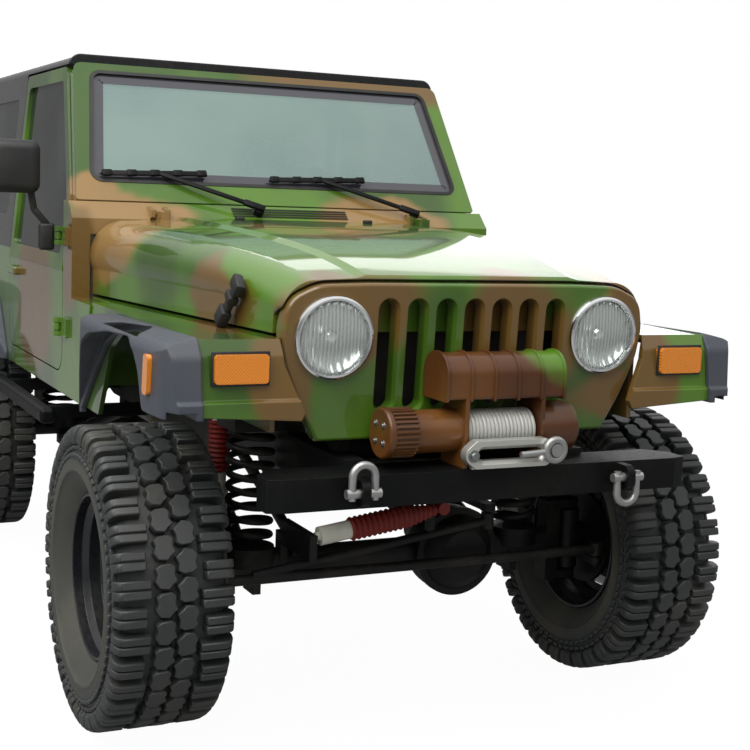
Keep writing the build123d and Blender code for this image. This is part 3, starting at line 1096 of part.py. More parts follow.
# Tailgate with the spare wheel carrier
GATE_X = CORNER_X - 15
gate = box(-GATE_X, GATE_X, TAIL_Y - 35, TAIL_Y, FLOOR_Z + FLOOR_T + GAP, BELT_Z - GAP)
gate += box(-120, 120, TAIL_Y - LAP, SPARE_Y - 44, SPARE_Z - 130, BELT_Z - GAP)
gate += rod((0, SPARE_Y - 60, SPARE_Z), (0, SPARE_Y - HUB_L / 2, SPARE_Z), 40)
GATE_STRAP = 80.0
for hinge_z in GATE_HINGE_Z:
    gate += rod((*GATE_PIN, hinge_z - EAR_Z1), (*GATE_PIN, hinge_z + EAR_Z1), HINGE_R)
    gate += rod((*GATE_PIN, hinge_z - STRAP), (*GATE_PIN, hinge_z + STRAP), HINGE_R + 3)
    strap_z = (hinge_z - STRAP, hinge_z + STRAP)
    gate += box(GATE_PIN[0], GATE_PIN[0] + GATE_STRAP, TAIL_Y + 6, GATE_PIN[1] + 8, *strap_z)
    gate += box(-GATE_X + 2, GATE_PIN[0] + GATE_STRAP, TAIL_Y - LAP, GATE_PIN[1] + 8, *strap_z)
keep("tailgate", gate)
TAIL_LAMP_X = 665.0
tail_lamp = box(TAIL_LAMP_X - 50, TAIL_LAMP_X + 50, TAIL_Y, TAIL_Y + 45, 930, 1110)
tail_lamp = fillet(tail_lamp.faces().sort_by(Axis.Y)[-1].edges(), 12)
keep("tail_lamps", *pair(tail_lamp))
rear_bumper = soft_box(-700, 700, TAIL_Y - 9, TAIL_Y + 110, REAR_BUMPER_Z1 - 95, REAR_BUMPER_Z1, 12)
for side in (-1, 1):
    arm_x = side * RAIL_X
    arm_y = TAIL_Y - RAIL_TAIL
    arm_span = (arm_x - RAIL_W / 2, arm_x + RAIL_W / 2)
    arm_low = REAR_BUMPER_Z1 - 45
    rear_bumper += box(*arm_span, arm_y, TAIL_Y, arm_low, REAR_BUMPER_Z1 - 14)
    rear_bumper += box(*arm_span, arm_y, arm_y + PLATE, arm_low, RAIL_REAR_Z - 20)
keep("rear_bumper", rear_bumper)

# Rock sliders: outer bar with legs to the frame
SLIDER_Z = 672.0
slider = soft_box(SIDE_X + 20, SIDE_X + 70, DOOR_Y0 - 7, DOOR_Y1 - 10, SLIDER_Z, SLIDER_Z + 50, 14)
for leg_y in (DOOR_Y0 + 75, DOOR_Y1 - 150):
    slider += box(rail_out, SIDE_X + 35, leg_y, leg_y + 50, SLIDER_Z + 4, SLIDER_Z + 43)
keep("rock_sliders", *pair(slider))

# Cabin: seats, dashboard, roll bar and steering wheel
floor_top = FLOOR_Z + FLOOR_T
SEAT_X = 400.0
SEAT_HALF = 240.0
SEAT_SIDE = [
    (-550, 0, 20), (-550, 190, 60), (-170, 220, 30), (-120, 660, 40),
    (-20, 720, 40), (-10, 60, 40), (-60, 0, 20),
]
seat_points = [(DOOR_Y1 + y, floor_top + z, r) for y, z, r in SEAT_SIDE]
seat = prism_x(seat_points, SEAT_X - SEAT_HALF, SEAT_X + SEAT_HALF)
bench_points = [(WHEELBASE + 247 + y * 0.85, floor_top + z * 0.92, r) for y, z, r in SEAT_SIDE]
bench = prism_x(bench_points, -450, 450)
keep("seats", *pair(seat), bench)
DASH = [
    (COWL_Y + 4, 1080), (COWL_Y + 4, 1300), (960, 1300, 30), (1010, 1250, 30), (1000, 1080, 20),
]
dash = prism_x(DASH, -side_in + 2, side_in - 2)
COLUMN_AXIS = Vector(0, 0.94, 0.34).normalized()
COLUMN_L = 200.0
column_foot = Vector(SEAT_X, 1022, 1190)
dash += rod(tuple(column_foot - COLUMN_AXIS * 60), tuple(column_foot - COLUMN_AXIS * FIT), 30)
keep("dashboard", dash)
BAR_R = 23.0
BAR_X = 590.0
bar_y = DOOR_Y1 + 52
bar_z = ROOF_Z - TOP_T - 80
hoop_points = [(BAR_X, bar_y, floor_top), (BAR_X, bar_y, bar_z)]
hoop_points += [(-BAR_X, bar_y, bar_z), (-BAR_X, bar_y, floor_top)]
roll_bar = tube_run(hoop_points, BAR_R)
for side in (-1, 1):
    stay = [(bar_y, bar_z), (WELL_Y1 - 100, bar_z - 100), (WELL_Y1 - 60, WELL_TOP + WELL_T)]
    roll_bar += tube_run([(side * BAR_X, y, z) for y, z in stay], BAR_R)
roll_bar = roll_bar & box(-SIDE_X, SIDE_X, DOOR_Y0, TAIL_Y, floor_top, ROOF_Z)
roll_bar -= well + flip(well)
keep("roll_bar", largest(roll_bar))
column = Plane(origin=column_foot, z_dir=COLUMN_AXIS)
ring_plane = column.offset(COLUMN_L)
wheel = extrude(column * Circle(22), amount=COLUMN_L)
wheel += ring_plane * Torus(185, 14)
wheel += extrude(ring_plane * Rectangle(350, 34), amount=10, both=True)
wheel += extrude(ring_plane * Pos(0, -85, 0) * Rectangle(34, 180), amount=10, both=True)
wheel += extrude(ring_plane * Circle(60), amount=16, both=True)
keep("steering_wheel", wheel)

# Wipers: pivot on the cowl slope, arm and blade over the foot of the glass
WIPER_PIVOTS = [-119.0, 465.0]
wipers = []
for pivot_x in WIPER_PIVOTS:
    post = rod((pivot_x, 828.2, 1378.9), (pivot_x, 801.4, 1407.8), 13)
    blade_low = screen.from_local_coords(Vector(pivot_x - 520, 80, 4))
    blade_high = screen.from_local_coords(Vector(pivot_x - 160, 92, 4))
    blade = rod(tuple(blade_low), tuple(blade_high), 9)
    reach = screen.from_local_coords(Vector(pivot_x - 330, 86, 6))
    arm = rod((pivot_x, 806, 1402), tuple(reach), 7)
    wipers.append(post + arm + blade)
keep("wipers", *wipers)

for name, solids in parts.items():
    shape = solids[0] if len(solids) == 1 else Compound(solids)
    export_step(shape, "parts/" + name + ".step")
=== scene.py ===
import json
import math

import bmesh
import bpy
from bpy.props import FloatProperty, FloatVectorProperty, IntProperty, PointerProperty
from mathutils import Matrix, Vector


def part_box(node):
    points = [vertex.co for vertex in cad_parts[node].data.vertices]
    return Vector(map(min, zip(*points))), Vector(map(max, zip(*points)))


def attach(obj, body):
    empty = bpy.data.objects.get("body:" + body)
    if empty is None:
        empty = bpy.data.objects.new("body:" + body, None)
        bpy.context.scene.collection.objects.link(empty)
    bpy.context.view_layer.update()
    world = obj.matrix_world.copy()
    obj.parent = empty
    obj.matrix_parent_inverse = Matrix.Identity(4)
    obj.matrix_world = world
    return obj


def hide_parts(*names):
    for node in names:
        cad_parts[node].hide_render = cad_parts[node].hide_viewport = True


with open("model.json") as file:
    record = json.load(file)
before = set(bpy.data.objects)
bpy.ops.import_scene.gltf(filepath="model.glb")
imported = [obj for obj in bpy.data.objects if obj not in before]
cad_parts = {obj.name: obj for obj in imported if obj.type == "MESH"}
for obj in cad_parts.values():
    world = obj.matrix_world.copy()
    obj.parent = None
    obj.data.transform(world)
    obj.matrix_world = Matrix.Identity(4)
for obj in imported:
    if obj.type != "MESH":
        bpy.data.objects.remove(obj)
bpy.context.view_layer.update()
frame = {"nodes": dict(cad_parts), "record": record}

bl_info = {
    "name": "Off-road vehicle",
    "version": (1, 0, 0),
    "blender": (4, 5, 0),
    "location": "View3D > Sidebar > Off-road",
    "description": "Dresses the packed off-road vehicle for a studio picture",
    "category": "Object",
}

NODES = frame["nodes"]
SLOTS = {part["node"]: part["material_slot"] for part in frame["record"]["subparts"]}

# Wheels and tyres, each with the body that it rides on
CORNERS = ("front_left", "front_right", "rear_left", "rear_right")
WHEELS = {f"wheel_{corner}": f"wheel_{corner}" for corner in CORNERS} | {"spare_wheel": "tailgate"}
TYRES = {f"tyre_{corner}": f"wheel_{corner}" for corner in CORNERS} | {"spare_tyre": "tailgate"}

# The point on the floor under the middle of the front axle
FRONT_WHEELS = [corner for node in ("wheel_front_left", "wheel_front_right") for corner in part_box(node)]
AXLE = (sum(FRONT_WHEELS, Vector()) / len(FRONT_WHEELS)).to_2d().to_3d()

# The windscreen's plane: Y and Z of its foot from the axle, the way out of it and the way up it
SCREEN_FOOT = (0.857, 1.409)
SCREEN_OUT = Vector((0, -0.862, 0.507))
SCREEN_UP = Vector((0, 0.507, 0.862))

# Every finish by its name, filled by main
MADE = {}


def tone(code):
    """A colour code such as 5a8a2c as linear light."""
    parts = [int(code[i:i + 2], 16) / 255 for i in (0, 2, 4)]
    return tuple(p / 12.92 if p <= 0.04045 else ((p + 0.055) / 1.055) ** 2.4 for p in parts)


# Settings

class OffroadPaint(bpy.types.PropertyGroup):
    """Colours of the finishes."""
    green: FloatVectorProperty(name="Green", description="Main paint", subtype="COLOR",
                               default=tone("4a7016"))
    # Dark green is painted shade: mixed into the green in noise clouds, and used for the winch's dark patch
    dark: FloatVectorProperty(name="Dark green", description="Shaded paint", subtype="COLOR",
                              default=tone("2e4d0d"))
    brown: FloatVectorProperty(name="Brown", description="Dark patches", subtype="COLOR",
                               default=tone("644a1e"))
    tan: FloatVectorProperty(name="Tan", description="Light patches", subtype="COLOR", default=tone("86683a"))
    # Painted shade of the winch, mixed into its brown in noise clouds
    winch_painted_shade: FloatVectorProperty(name="Winch shade", description="Darker winch paint", subtype="COLOR",
                              default=tone("48260b"))
    warp: FloatProperty(name="Edge wander", description="How far patch edges wander", unit="LENGTH",
                        default=0.14)
    soft: FloatProperty(name="Edge softness", description="Spray width over patch size", default=0.22)
    plastic: FloatVectorProperty(name="Flares", description="Grained plastic", subtype="COLOR",
                                 default=tone("3c4048"))
    rubber: FloatVectorProperty(name="Rubber", description="Tyre rubber", subtype="COLOR",
                                default=tone("2a2d2d"))
    dust: FloatVectorProperty(name="Dust", description="Dry road dust", subtype="COLOR",
                              default=tone("5b5648"))
    glass: FloatVectorProperty(name="Glass", description="Window tint", subtype="COLOR",
                               default=tone("7b908c"))
    amber: FloatVectorProperty(name="Amber", description="Signal lenses", subtype="COLOR",
                               default=tone("dc8418"))
    red: FloatVectorProperty(name="Red", description="Damper boots", subtype="COLOR", default=tone("7c160a"))


class OffroadTyre(bpy.types.PropertyGroup):
    """Tread of the tyres."""
    pitches: IntProperty(name="Pitches", description="Tread pitches round the tyre", default=36)
    steps: IntProperty(name="Steps", description="Steps round the casing", default=96)
    depth: FloatProperty(name="Depth", description="Tread depth", unit="LENGTH", default=0.030)
    bevel: FloatProperty(name="Block edge", description="Rounding of the blocks", unit="LENGTH",
                         default=0.003)
    lug: FloatProperty(name="Lug", description="Length of a shoulder lug round the tyre", unit="LENGTH",
                       default=0.047)
    slit: FloatProperty(name="Slit", description="Width of the slit in a lug", unit="LENGTH", default=0.0035)
    bead: FloatProperty(name="Bead", description="Radius at the rim", unit="LENGTH", default=0.2245)
    crown: FloatProperty(name="Crown", description="How far block tops stay inside the solid", unit="LENGTH",
                         default=0.0015)
    root: FloatProperty(name="Root", description="How deep blocks stand in the casing", unit="LENGTH",
                        default=0.006)
    slit_depth: FloatProperty(name="Slit depth", description="Depth of that slit", unit="LENGTH",
                              default=0.009)
    shoulder: FloatProperty(name="Shoulder", description="Top of the sidewall under the tread",
                            unit="LENGTH", default=0.095)


class OffroadWheel(bpy.types.PropertyGroup):
    """Nuts of the wheels."""
    nuts: IntProperty(name="Nuts", description="Nuts on a wheel", default=5)
    circle: FloatProperty(name="Nut circle", description="Radius of the nuts' circle", unit="LENGTH",
                          default=0.048)
    face: FloatProperty(name="Hub face", description="Hub face from the wheel's middle", unit="LENGTH",
                        default=0.030)
    nut: FloatProperty(name="Nut", description="Radius of a nut", unit="LENGTH", default=0.0095)
    nut_height: FloatProperty(name="Nut height", description="Height of a nut", unit="LENGTH", default=0.016)


class OffroadLamp(bpy.types.PropertyGroup):
    """Places of the lamps, in metres from the front axle."""
    x: FloatProperty(name="Lamp X", description="Headlamp from the middle", unit="LENGTH", default=0.400)
    y: FloatProperty(name="Lamp Y", description="Grille face at the headlamp", unit="LENGTH", default=-0.4624)
    z: FloatProperty(name="Lamp Z", description="Headlamp height", unit="LENGTH", default=1.107)
    radius: FloatProperty(name="Ring", description="Outer radius of the ring", unit="LENGTH", default=0.108)
    lean: FloatProperty(name="Lean", description="Forward lean of the grille per metre up", default=0.058)
    signal_at: FloatVectorProperty(name="Signal", description="Middle of a signal's frame", subtype="XYZ",
                                   unit="LENGTH", default=(0.650, -0.487, 1.036))
    signal_x: FloatProperty(name="Signal width", description="Width of a signal", unit="LENGTH",
                            default=0.138)
    signal_z: FloatProperty(name="Signal height", description="Height of a signal", unit="LENGTH",
                            default=0.072)


class OffroadScreen(bpy.types.PropertyGroup):
    """Edge of the windscreen."""
    band: FloatProperty(name="Band", description="Width of the dark band", unit="LENGTH", default=0.046)
    seal: FloatProperty(name="Seal", description="Width of the seal", unit="LENGTH", default=0.012)
    seal_height: FloatProperty(name="Seal height", description="Height of the seal", unit="LENGTH",
                               default=0.010)


class OffroadLatch(bpy.types.PropertyGroup):
    """Left hood latch, in metres from the front axle."""
    top: FloatVectorProperty(name="Top", description="Upper end of the latch", subtype="XYZ", unit="LENGTH",
                             default=(0.566, -0.246, 1.216))
    foot: FloatVectorProperty(name="Foot", description="Lower end of the latch", subtype="XYZ", unit="LENGTH",
                              default=(0.590, -0.178, 1.112))


class OffroadWinch(bpy.types.PropertyGroup):
    """Rope and bolts of the winch."""
    rope: FloatProperty(name="Rope", description="Radius of the rope", unit="LENGTH", default=0.0055)
    steps: IntProperty(name="Steps", description="Steps round one turn of the rope", default=26)
    fair_z: FloatProperty(name="Fairlead Z", description="Height of the fairlead", unit="LENGTH",
                          default=0.822)
    fair_x: FloatProperty(name="Fairlead bolt", description="Bolt from the fairlead's middle", unit="LENGTH",
                          default=0.112)
    circle: FloatProperty(name="Motor bolts", description="Radius of the motor bolts' circle", unit="LENGTH",
                          default=0.032)


class OffroadDamper(bpy.types.PropertyGroup):
    """Boots of the dampers, in metres from the front axle."""
    start: FloatVectorProperty(name="Start", description="Foot of the steering damper", subtype="XYZ",
                               unit="LENGTH", default=(-0.318, -0.230, 0.538))
    eye: FloatVectorProperty(name="Eye", description="Eye of its rod", subtype="XYZ", unit="LENGTH",
                             default=(0.060, -0.230, 0.592))
    sleeve: FloatProperty(name="Sleeve", description="Straight length of the boot", unit="LENGTH",
                          default=0.265)
    ribs: IntProperty(name="Ribs", description="Ribs of the boot", default=17)
    shock_at: FloatVectorProperty(name="Shock boot", description="Foot of a shock's boot", subtype="XYZ",
                                  unit="LENGTH", default=(0.490, 0.108, 0.660))
    shock_boot: FloatProperty(name="Shock boot length", description="Length of that boot", unit="LENGTH",
                              default=0.150)
    shock_ribs: IntProperty(name="Shock ribs", description="Ribs of that boot", default=11)
    first: FloatProperty(name="First rib", description="Boot's start from the damper's foot", unit="LENGTH",
                         default=0.090)
    last: FloatProperty(name="Last rib", description="Boot's end before the eye", unit="LENGTH",
                        default=0.020)
    crest: FloatProperty(name="Crest", description="Radius of a rib", unit="LENGTH", default=0.0335)
    groove: FloatProperty(name="Groove", description="Depth between ribs", unit="LENGTH", default=0.0055)
    taper: FloatProperty(name="Taper", description="What a rib's radius loses past the sleeve", unit="LENGTH",
                         default=0.017)


class OffroadSeat(bpy.types.PropertyGroup):
    """Seats, in metres from the front axle."""
    front: FloatVectorProperty(name="Front seats", description="Left seat across, and Y of the backs", size=2,
                               unit="LENGTH", default=(0.40, 1.80))
    front_half: FloatProperty(name="Seat width", description="Half of a front seat's width", unit="LENGTH",
                              default=0.24)
    bench: FloatProperty(name="Bench", description="Y of the bench's back", unit="LENGTH", default=2.62)
    bench_half: FloatProperty(name="Bench width", description="Half of the bench's width", unit="LENGTH",
                              default=0.45)
    lean: FloatProperty(name="Lean", description="Lean of the backs", subtype="ANGLE",
                        default=math.radians(-8))
    sink: FloatProperty(name="Seam", description="Depth of a sewn channel", unit="LENGTH", default=0.007)


class OffroadFittings(bpy.types.PropertyGroup):
    """Places of small fittings, in metres from the front axle."""
    nozzle: FloatVectorProperty(name="Nozzle", description="A washer nozzle", subtype="XYZ", unit="LENGTH",
                                default=(0.230, 0.700, 1.366))
    vent: FloatVectorProperty(name="Vent", description="Length, Y and Z of the low cowl slot", subtype="XYZ",
                              unit="LENGTH", default=(0.420, 0.818, 1.373))
    vents: IntProperty(name="Vents", description="Cowl slots", default=4)
    vent_step: FloatProperty(name="Vent step", description="From one cowl slot to the next", unit="LENGTH",
                             default=0.011)
    plate: FloatVectorProperty(name="Winch plate", description="Size of the winch's plate", subtype="XYZ",
                               unit="LENGTH", default=(0.58, 0.16, 0.008))
    plate_z: FloatProperty(name="Plate Z", description="Height of that plate", unit="LENGTH", default=0.768)
    engine: FloatVectorProperty(name="Engine", description="Middle of the rocker cover's foot", subtype="XYZ",
                                unit="LENGTH", default=(0.070, 0.430, 1.180))
    mirror: FloatVectorProperty(name="Mirror", description="Middle of the cabin mirror", subtype="XYZ",
                                unit="LENGTH", default=(0.05, 1.135, 1.730))


class OffroadWiper(bpy.types.PropertyGroup):
    """Wipers. Points on the glass go across from the pivot, up the glass and off it."""
    pivots: FloatVectorProperty(name="Pivots", description="Wiper pivots across", size=2, unit="LENGTH",
                                default=(-0.119, 0.465))
    foot: FloatVectorProperty(name="Foot", description="Y and Z of a pivot's foot", size=2, unit="LENGTH",
                              default=(0.8282, 1.3789))
    cap: FloatVectorProperty(name="Cap", description="Y and Z of a pivot's cap", size=2, unit="LENGTH",
                             default=(0.8014, 1.4078))
    root: FloatVectorProperty(name="Root", description="Y and Z of an arm's root", size=2, unit="LENGTH",
                              default=(0.806, 1.402))
    reach: FloatVectorProperty(name="Reach", description="End of an arm on the glass", subtype="XYZ",
                               unit="LENGTH", default=(-0.330, 0.100, 0.016))
    blade_low: FloatVectorProperty(name="Blade's far end", description="Far end of a blade on the glass",
                                   subtype="XYZ", unit="LENGTH", default=(-0.520, 0.094, 0.001))
    blade_high: FloatVectorProperty(name="Blade's near end", description="Near end of a blade on the glass",
                                    subtype="XYZ", unit="LENGTH", default=(-0.160, 0.106, 0.001))


class OffroadMirror(bpy.types.PropertyGroup):
    """Door mirror, in metres from the front axle."""
    head: FloatVectorProperty(name="Head", description="Middle of the head", subtype="XYZ", unit="LENGTH",
                              default=(-0.912, 0.919, 1.5065))
    size: FloatVectorProperty(name="Head size", description="Size of the head", subtype="XYZ", unit="LENGTH",
                              default=(0.156, 0.078, 0.168))
    neck: FloatVectorProperty(name="Neck", description="Arm's end at the head", subtype="XYZ", unit="LENGTH",
                              default=(-0.858, 0.9425, 1.440))
    knee: FloatVectorProperty(name="Knee", description="Bend of the arm", subtype="XYZ", unit="LENGTH",
                              default=(-0.846, 0.9425, 1.372))
    foot: FloatVectorProperty(name="Foot", description="Arm's end at the door", subtype="XYZ", unit="LENGTH",
                              default=(-0.802, 0.9450, 1.322))
    base: FloatVectorProperty(name="Base", description="Middle of the base on the door", subtype="XYZ",
                              unit="LENGTH", default=(-0.804, 0.9475, 1.285))
    glass: FloatVectorProperty(name="Glass", description="Middle of the glass", subtype="XYZ", unit="LENGTH",
                               default=(-0.912, 0.9580, 1.5065))


class OffroadStage(bpy.types.PropertyGroup):
    """Camera and light."""
    place: FloatVectorProperty(name="Camera", description="Camera place from the front axle", subtype="XYZ",
                               unit="LENGTH", default=(-1.798, -3.608, 1.468))
    pan: FloatProperty(name="Pan", description="Turn about the vertical", subtype="ANGLE",
                       default=math.radians(-25.76))
    tilt: FloatProperty(name="Tilt", description="Look down", subtype="ANGLE", default=math.radians(-7.47))
    roll: FloatProperty(name="Roll", description="Turn about the view line", subtype="ANGLE",
                        default=math.radians(2.25))
    lens: FloatProperty(name="Lens", description="Focal length in mm", default=66.8)
    sky: FloatProperty(name="Sky", description="Strength of the even light", default=0.75)
    key: FloatProperty(name="Overhead", description="Watts of the overhead panel", default=500.0)
    back: FloatProperty(name="Back", description="Watts of the panel behind", default=330.0)
    shine: FloatProperty(name="Shine", description="Strength of the low sky in reflections", default=0.22)
    overhead: FloatProperty(name="High sky", description="Strength of the high sky in reflections",
                            default=1.0)
    floor: FloatProperty(name="Floor size", description="Side of the floor", unit="LENGTH", default=60.0)


# Shader helpers

class Field:
    """A shader value. Maths on it adds Math nodes to its tree."""

    def __init__(self, shader, socket):
        self.shader = shader
        self.socket = socket

    def _with(self, operation, *values):
        return self.shader.node("ShaderNodeMath", {"operation": operation}, dict(enumerate(values)))

    def __add__(self, other):
        return self._with("ADD", self, other)

    __radd__ = __add__

    def __mul__(self, other):
        return self._with("MULTIPLY", self, other)

    __rmul__ = __mul__

    def __sub__(self, other):
        return self._with("SUBTRACT", self, other)

    def __rsub__(self, other):
        return self._with("SUBTRACT", other, self)

    def most(self, other):
        return self._with("MAXIMUM", self, other)

    def sine(self):
        return self._with("SINE", self)

    def ramp(self, low, high):
        """0 at low and 1 at high, smooth between; low may be above high."""
        settings = {"interpolation_type": "SMOOTHSTEP"}
        if low <= high:
            return self.shader.node("ShaderNodeMapRange", settings, {0: self, 1: low, 2: high})
        return 1.0 - self.shader.node("ShaderNodeMapRange", settings, {0: self, 1: high, 2: low})


class Shader:
    """A node tree, with its nodes added by short calls."""

    def __init__(self, tree):
        self.tree = tree

    def put(self, socket, value):
        """Links a Field to a socket, or writes a plain value to it."""
        if isinstance(value, Field):
            self.tree.links.new(value.socket, socket)
        elif socket.type == "RGBA" and len(value) == 3:
            socket.default_value = (*value, 1.0)
        else:
            socket.default_value = value

    def node(self, kind, settings, inputs, out=0):
        """Adds a node: settings first, then its socket values or links."""
        made = self.tree.nodes.new(kind)
        for key, value in settings.items():
            setattr(made, key, value)
        for key, value in inputs.items():
            self.put(made.inputs[key], value)
        return Field(self, made.outputs[out])


class Finish(Shader):
    """One material, with what its surface needs."""

    def __init__(self, name, **constants):
        self.material = bpy.data.materials.new(name)
        self.material.use_nodes = True
        super().__init__(self.material.node_tree)
        self.surface = self.tree.nodes["Principled BSDF"]
        for key, value in constants.items():
            self.set(key.replace("_", " "), value)
        self.here = self.node("ShaderNodeTexCoord", {}, {}, "Object")

    def set(self, name, value):
        """Sets an input of the surface; the name may be in lower case."""
        names = {i.name.lower(): i for i in self.surface.inputs}
        self.put(names[name.lower()], value)

    def vector(self, operation, *values, out=0):
        return self.node("ShaderNodeVectorMath", {"operation": operation}, dict(enumerate(values)), out)

    def noise(self, scale, detail=3.0, where=None, out="Fac", rough=0.5):
        inputs = {"Vector": where or self.here, "Scale": scale, "Detail": detail, "Roughness": rough}
        return self.node("ShaderNodeTexNoise", {}, inputs, out)

    def mix(self, factor, low, high):
        """Mixes two colours."""
        return self.node("ShaderNodeMix", {"data_type": "RGBA"}, {0: factor, 6: low, 7: high}, 2)

    def axis(self, letter):
        return self.node("ShaderNodeSeparateXYZ", {}, {0: self.here}, letter)

    def edge(self, radius):
        """A normal that rounds sharp edges."""
        return self.node("ShaderNodeBevel", {"samples": 4}, {"Radius": radius})

    def bump(self, height, depth, strength=1.0, edge=None):
        """Feeds a height in metres to the normal, over rounded edges where given."""
        inputs = {"Strength": strength, "Distance": depth, "Height": height}
        if edge is not None:
            inputs["Normal"] = edge
        self.set("Normal", self.node("ShaderNodeBump", {}, inputs))


# Paint patches in metres from the front axle: x, y, z, half sizes, colour
PATCHES = (
    (-0.62, 0.70, 1.33, 0.20, 0.26, 0.14, "tan"),
    (-0.15, 0.28, 1.34, 0.17, 0.24, 0.12, "tan"),
    (-0.58, -0.12, 1.15, 0.10, 0.19, 0.11, "brown"),
    (-0.36, -0.46, 1.17, 0.20, 0.12, 0.13, "brown"),
    (0.16, -0.46, 1.12, 0.16, 0.12, 0.19, "brown"),
    (0.45, -0.45, 0.94, 0.14, 0.12, 0.10, "brown"),
    (0.50, -0.44, 1.20, 0.12, 0.12, 0.10, "brown"),
    (-0.52, -0.48, 0.98, 0.10, 0.14, 0.15, "brown"),
    (0.58, -0.48, 1.04, 0.10, 0.16, 0.16, "brown"),
    (0.45, -0.30, 1.24, 0.14, 0.14, 0.08, "tan"),
    (0.36, 1.11, 1.87, 0.40, 0.20, 0.09, "brown"),
    (-0.70, 0.88, 1.42, 0.10, 0.12, 0.10, "tan"),
    (-0.76, 1.36, 1.06, 0.14, 0.30, 0.24, "brown"),
    (-0.76, 0.80, 1.22, 0.10, 0.12, 0.16, "brown"),
    (-0.55, 0.83, 1.39, 0.18, 0.09, 0.08, "tan"),
    (0.34, 0.83, 1.39, 0.24, 0.09, 0.08, "tan"),
    (0.60, 0.45, 1.30, 0.18, 0.30, 0.14, "brown"),
    (0.76, 1.20, 1.00, 0.14, 0.32, 0.26, "brown"),
    (0.76, 2.30, 1.15, 0.14, 0.26, 0.12, "tan"),
    (-0.76, 2.45, 1.12, 0.14, 0.24, 0.14, "tan"),
    (-0.40, 2.86, 1.10, 0.22, 0.12, 0.20, "brown"),
    (0.52, 2.86, 0.95, 0.18, 0.12, 0.18, "tan"),
)

# The same for the winch; its dark patch is painted shade on the lower part of its green end
WINCH_PATCHES = (
    (0.285, -0.52, 0.90, 0.075, 0.12, 0.14, "dark"),
    (0.230, -0.50, 1.04, 0.085, 0.14, 0.09, "green"),
)


def camouflage(name, main, shade, patches, **constants):
    """Glossy sprayed paint with soft patches over a ground of the main colour with painted shade in noise
    clouds.
    """
    paint = bpy.context.scene.offroad_paint
    made = Finish(name, **constants)
    wander = made.vector("SUBTRACT", made.noise(3.0, 3.0, out="Color"), (0.5, 0.5, 0.5))
    wander = made.vector("SCALE", wander)
    made.put(wander.socket.node.inputs["Scale"], 2.0 * paint.warp)
    where = made.vector("ADD", made.here, wander)
    # Painted shade: noise clouds where the main colour gives way to the darker shade colour
    cloud = made.noise(1.7, 1.0, where).ramp(0.42, 0.58)
    colour = made.mix(cloud, main, shade)
    for key in dict.fromkeys(patch[-1] for patch in patches):
        cover = None
        for x, y, z, *half, kind in patches:
            if kind != key:
                continue
            far = made.vector("DIVIDE", made.vector("SUBTRACT", where, spot(x, y, z)), half)
            near = made.vector("LENGTH", far, out="Value").ramp(1.0 + paint.soft, 1.0 - paint.soft)
            cover = near if cover is None else cover.most(near)
        colour = made.mix(cover, colour, getattr(paint, key))
    mottle = made.noise(9.0, 4.0).ramp(0.2, 0.8)
    made.set("Base Color", made.mix(0.12 * mottle, colour, paint.dust))
    made.set("Roughness", 0.32 + 0.12 * made.noise(14.0, 4.0))
    made.bump(made.noise(420.0, 2.0), 0.0003, 0.12, made.edge(0.005))
    return made.material


def dusty(name, colour, rough, amount, grain=0.0, edge=0.0, **constants):
    """A plain finish with dust that settles in soft clouds, and an even grain."""
    paint = bpy.context.scene.offroad_paint
    made = Finish(name, **constants)
    cloud = made.noise(5.0, 5.0).ramp(0.42, 0.72)
    speck = made.noise(60.0, 3.0).ramp(0.35, 0.75)
    cover = amount * cloud * (0.45 + 0.55 * speck)
    made.set("Base Color", made.mix(cover, colour, paint.dust))
    made.set("Roughness", rough + 0.25 * cover + 0.08 * speck)
    made.bump(made.noise(700.0, 2.0), max(grain, 0.00002), 0.5, made.edge(edge) if edge else None)
    return made.material


def fluted(name, colour, rough, **constants):
    """A bright surface with upright flutes and painted shade in stripes along them."""
    made = Finish(name, **constants)
    flutes = (made.axis("X") * 330.0).sine()
    # Painted shade: stripes of a darker grey along the flutes
    made.set("Base Color", made.mix(0.25 + 0.25 * flutes, colour, tone("9aa09c")))
    made.set("Roughness", rough + 0.10 * made.noise(40.0))
    made.bump(flutes, 0.0015, 0.5)
    return made.material


def moulded(name, colour, shade):
    """A glossy plastic lens with small pressed pyramids."""
    made = Finish(name, roughness=0.15, coat_weight=0.8)
    grid = (made.axis("X") * 760.0).sine() * (made.axis("Z") * 760.0).sine()
    made.set("Base Color", made.mix(0.20 + 0.20 * grid, colour, shade))
    made.bump(grid, 0.0010, 0.5, made.edge(0.004))
    return made.material


def ribbed(name):
    """Clear lamp glass with upright ribs and painted shade in stripes along them."""
    made = Finish(name, roughness=0.03, coat_weight=1.0, coat_roughness=0.02)
    ribs = (made.axis("X") * 620.0).sine()
    # Painted shade: darker, less clear stripes along the ribs
    made.set("Base Color", made.mix(0.3 + 0.3 * ribs, tone("eef2ee"), tone("c8d0cc")))
    made.set("Alpha", 0.30 + 0.10 * ribs)
    made.bump(ribs, 0.0012, 0.6)
    return made.material


def tinted(name, low, high, alpha, coat, scale):
    """Window glass with a faint haze between two tints."""
    made = Finish(name, roughness=0.03, coat_weight=coat)
    haze = made.noise(scale, 3.0).ramp(0.3, 0.7)
    made.set("Base Color", made.mix(haze, low, high))
    made.set("Alpha", alpha + 0.10 * haze)
    return made.material


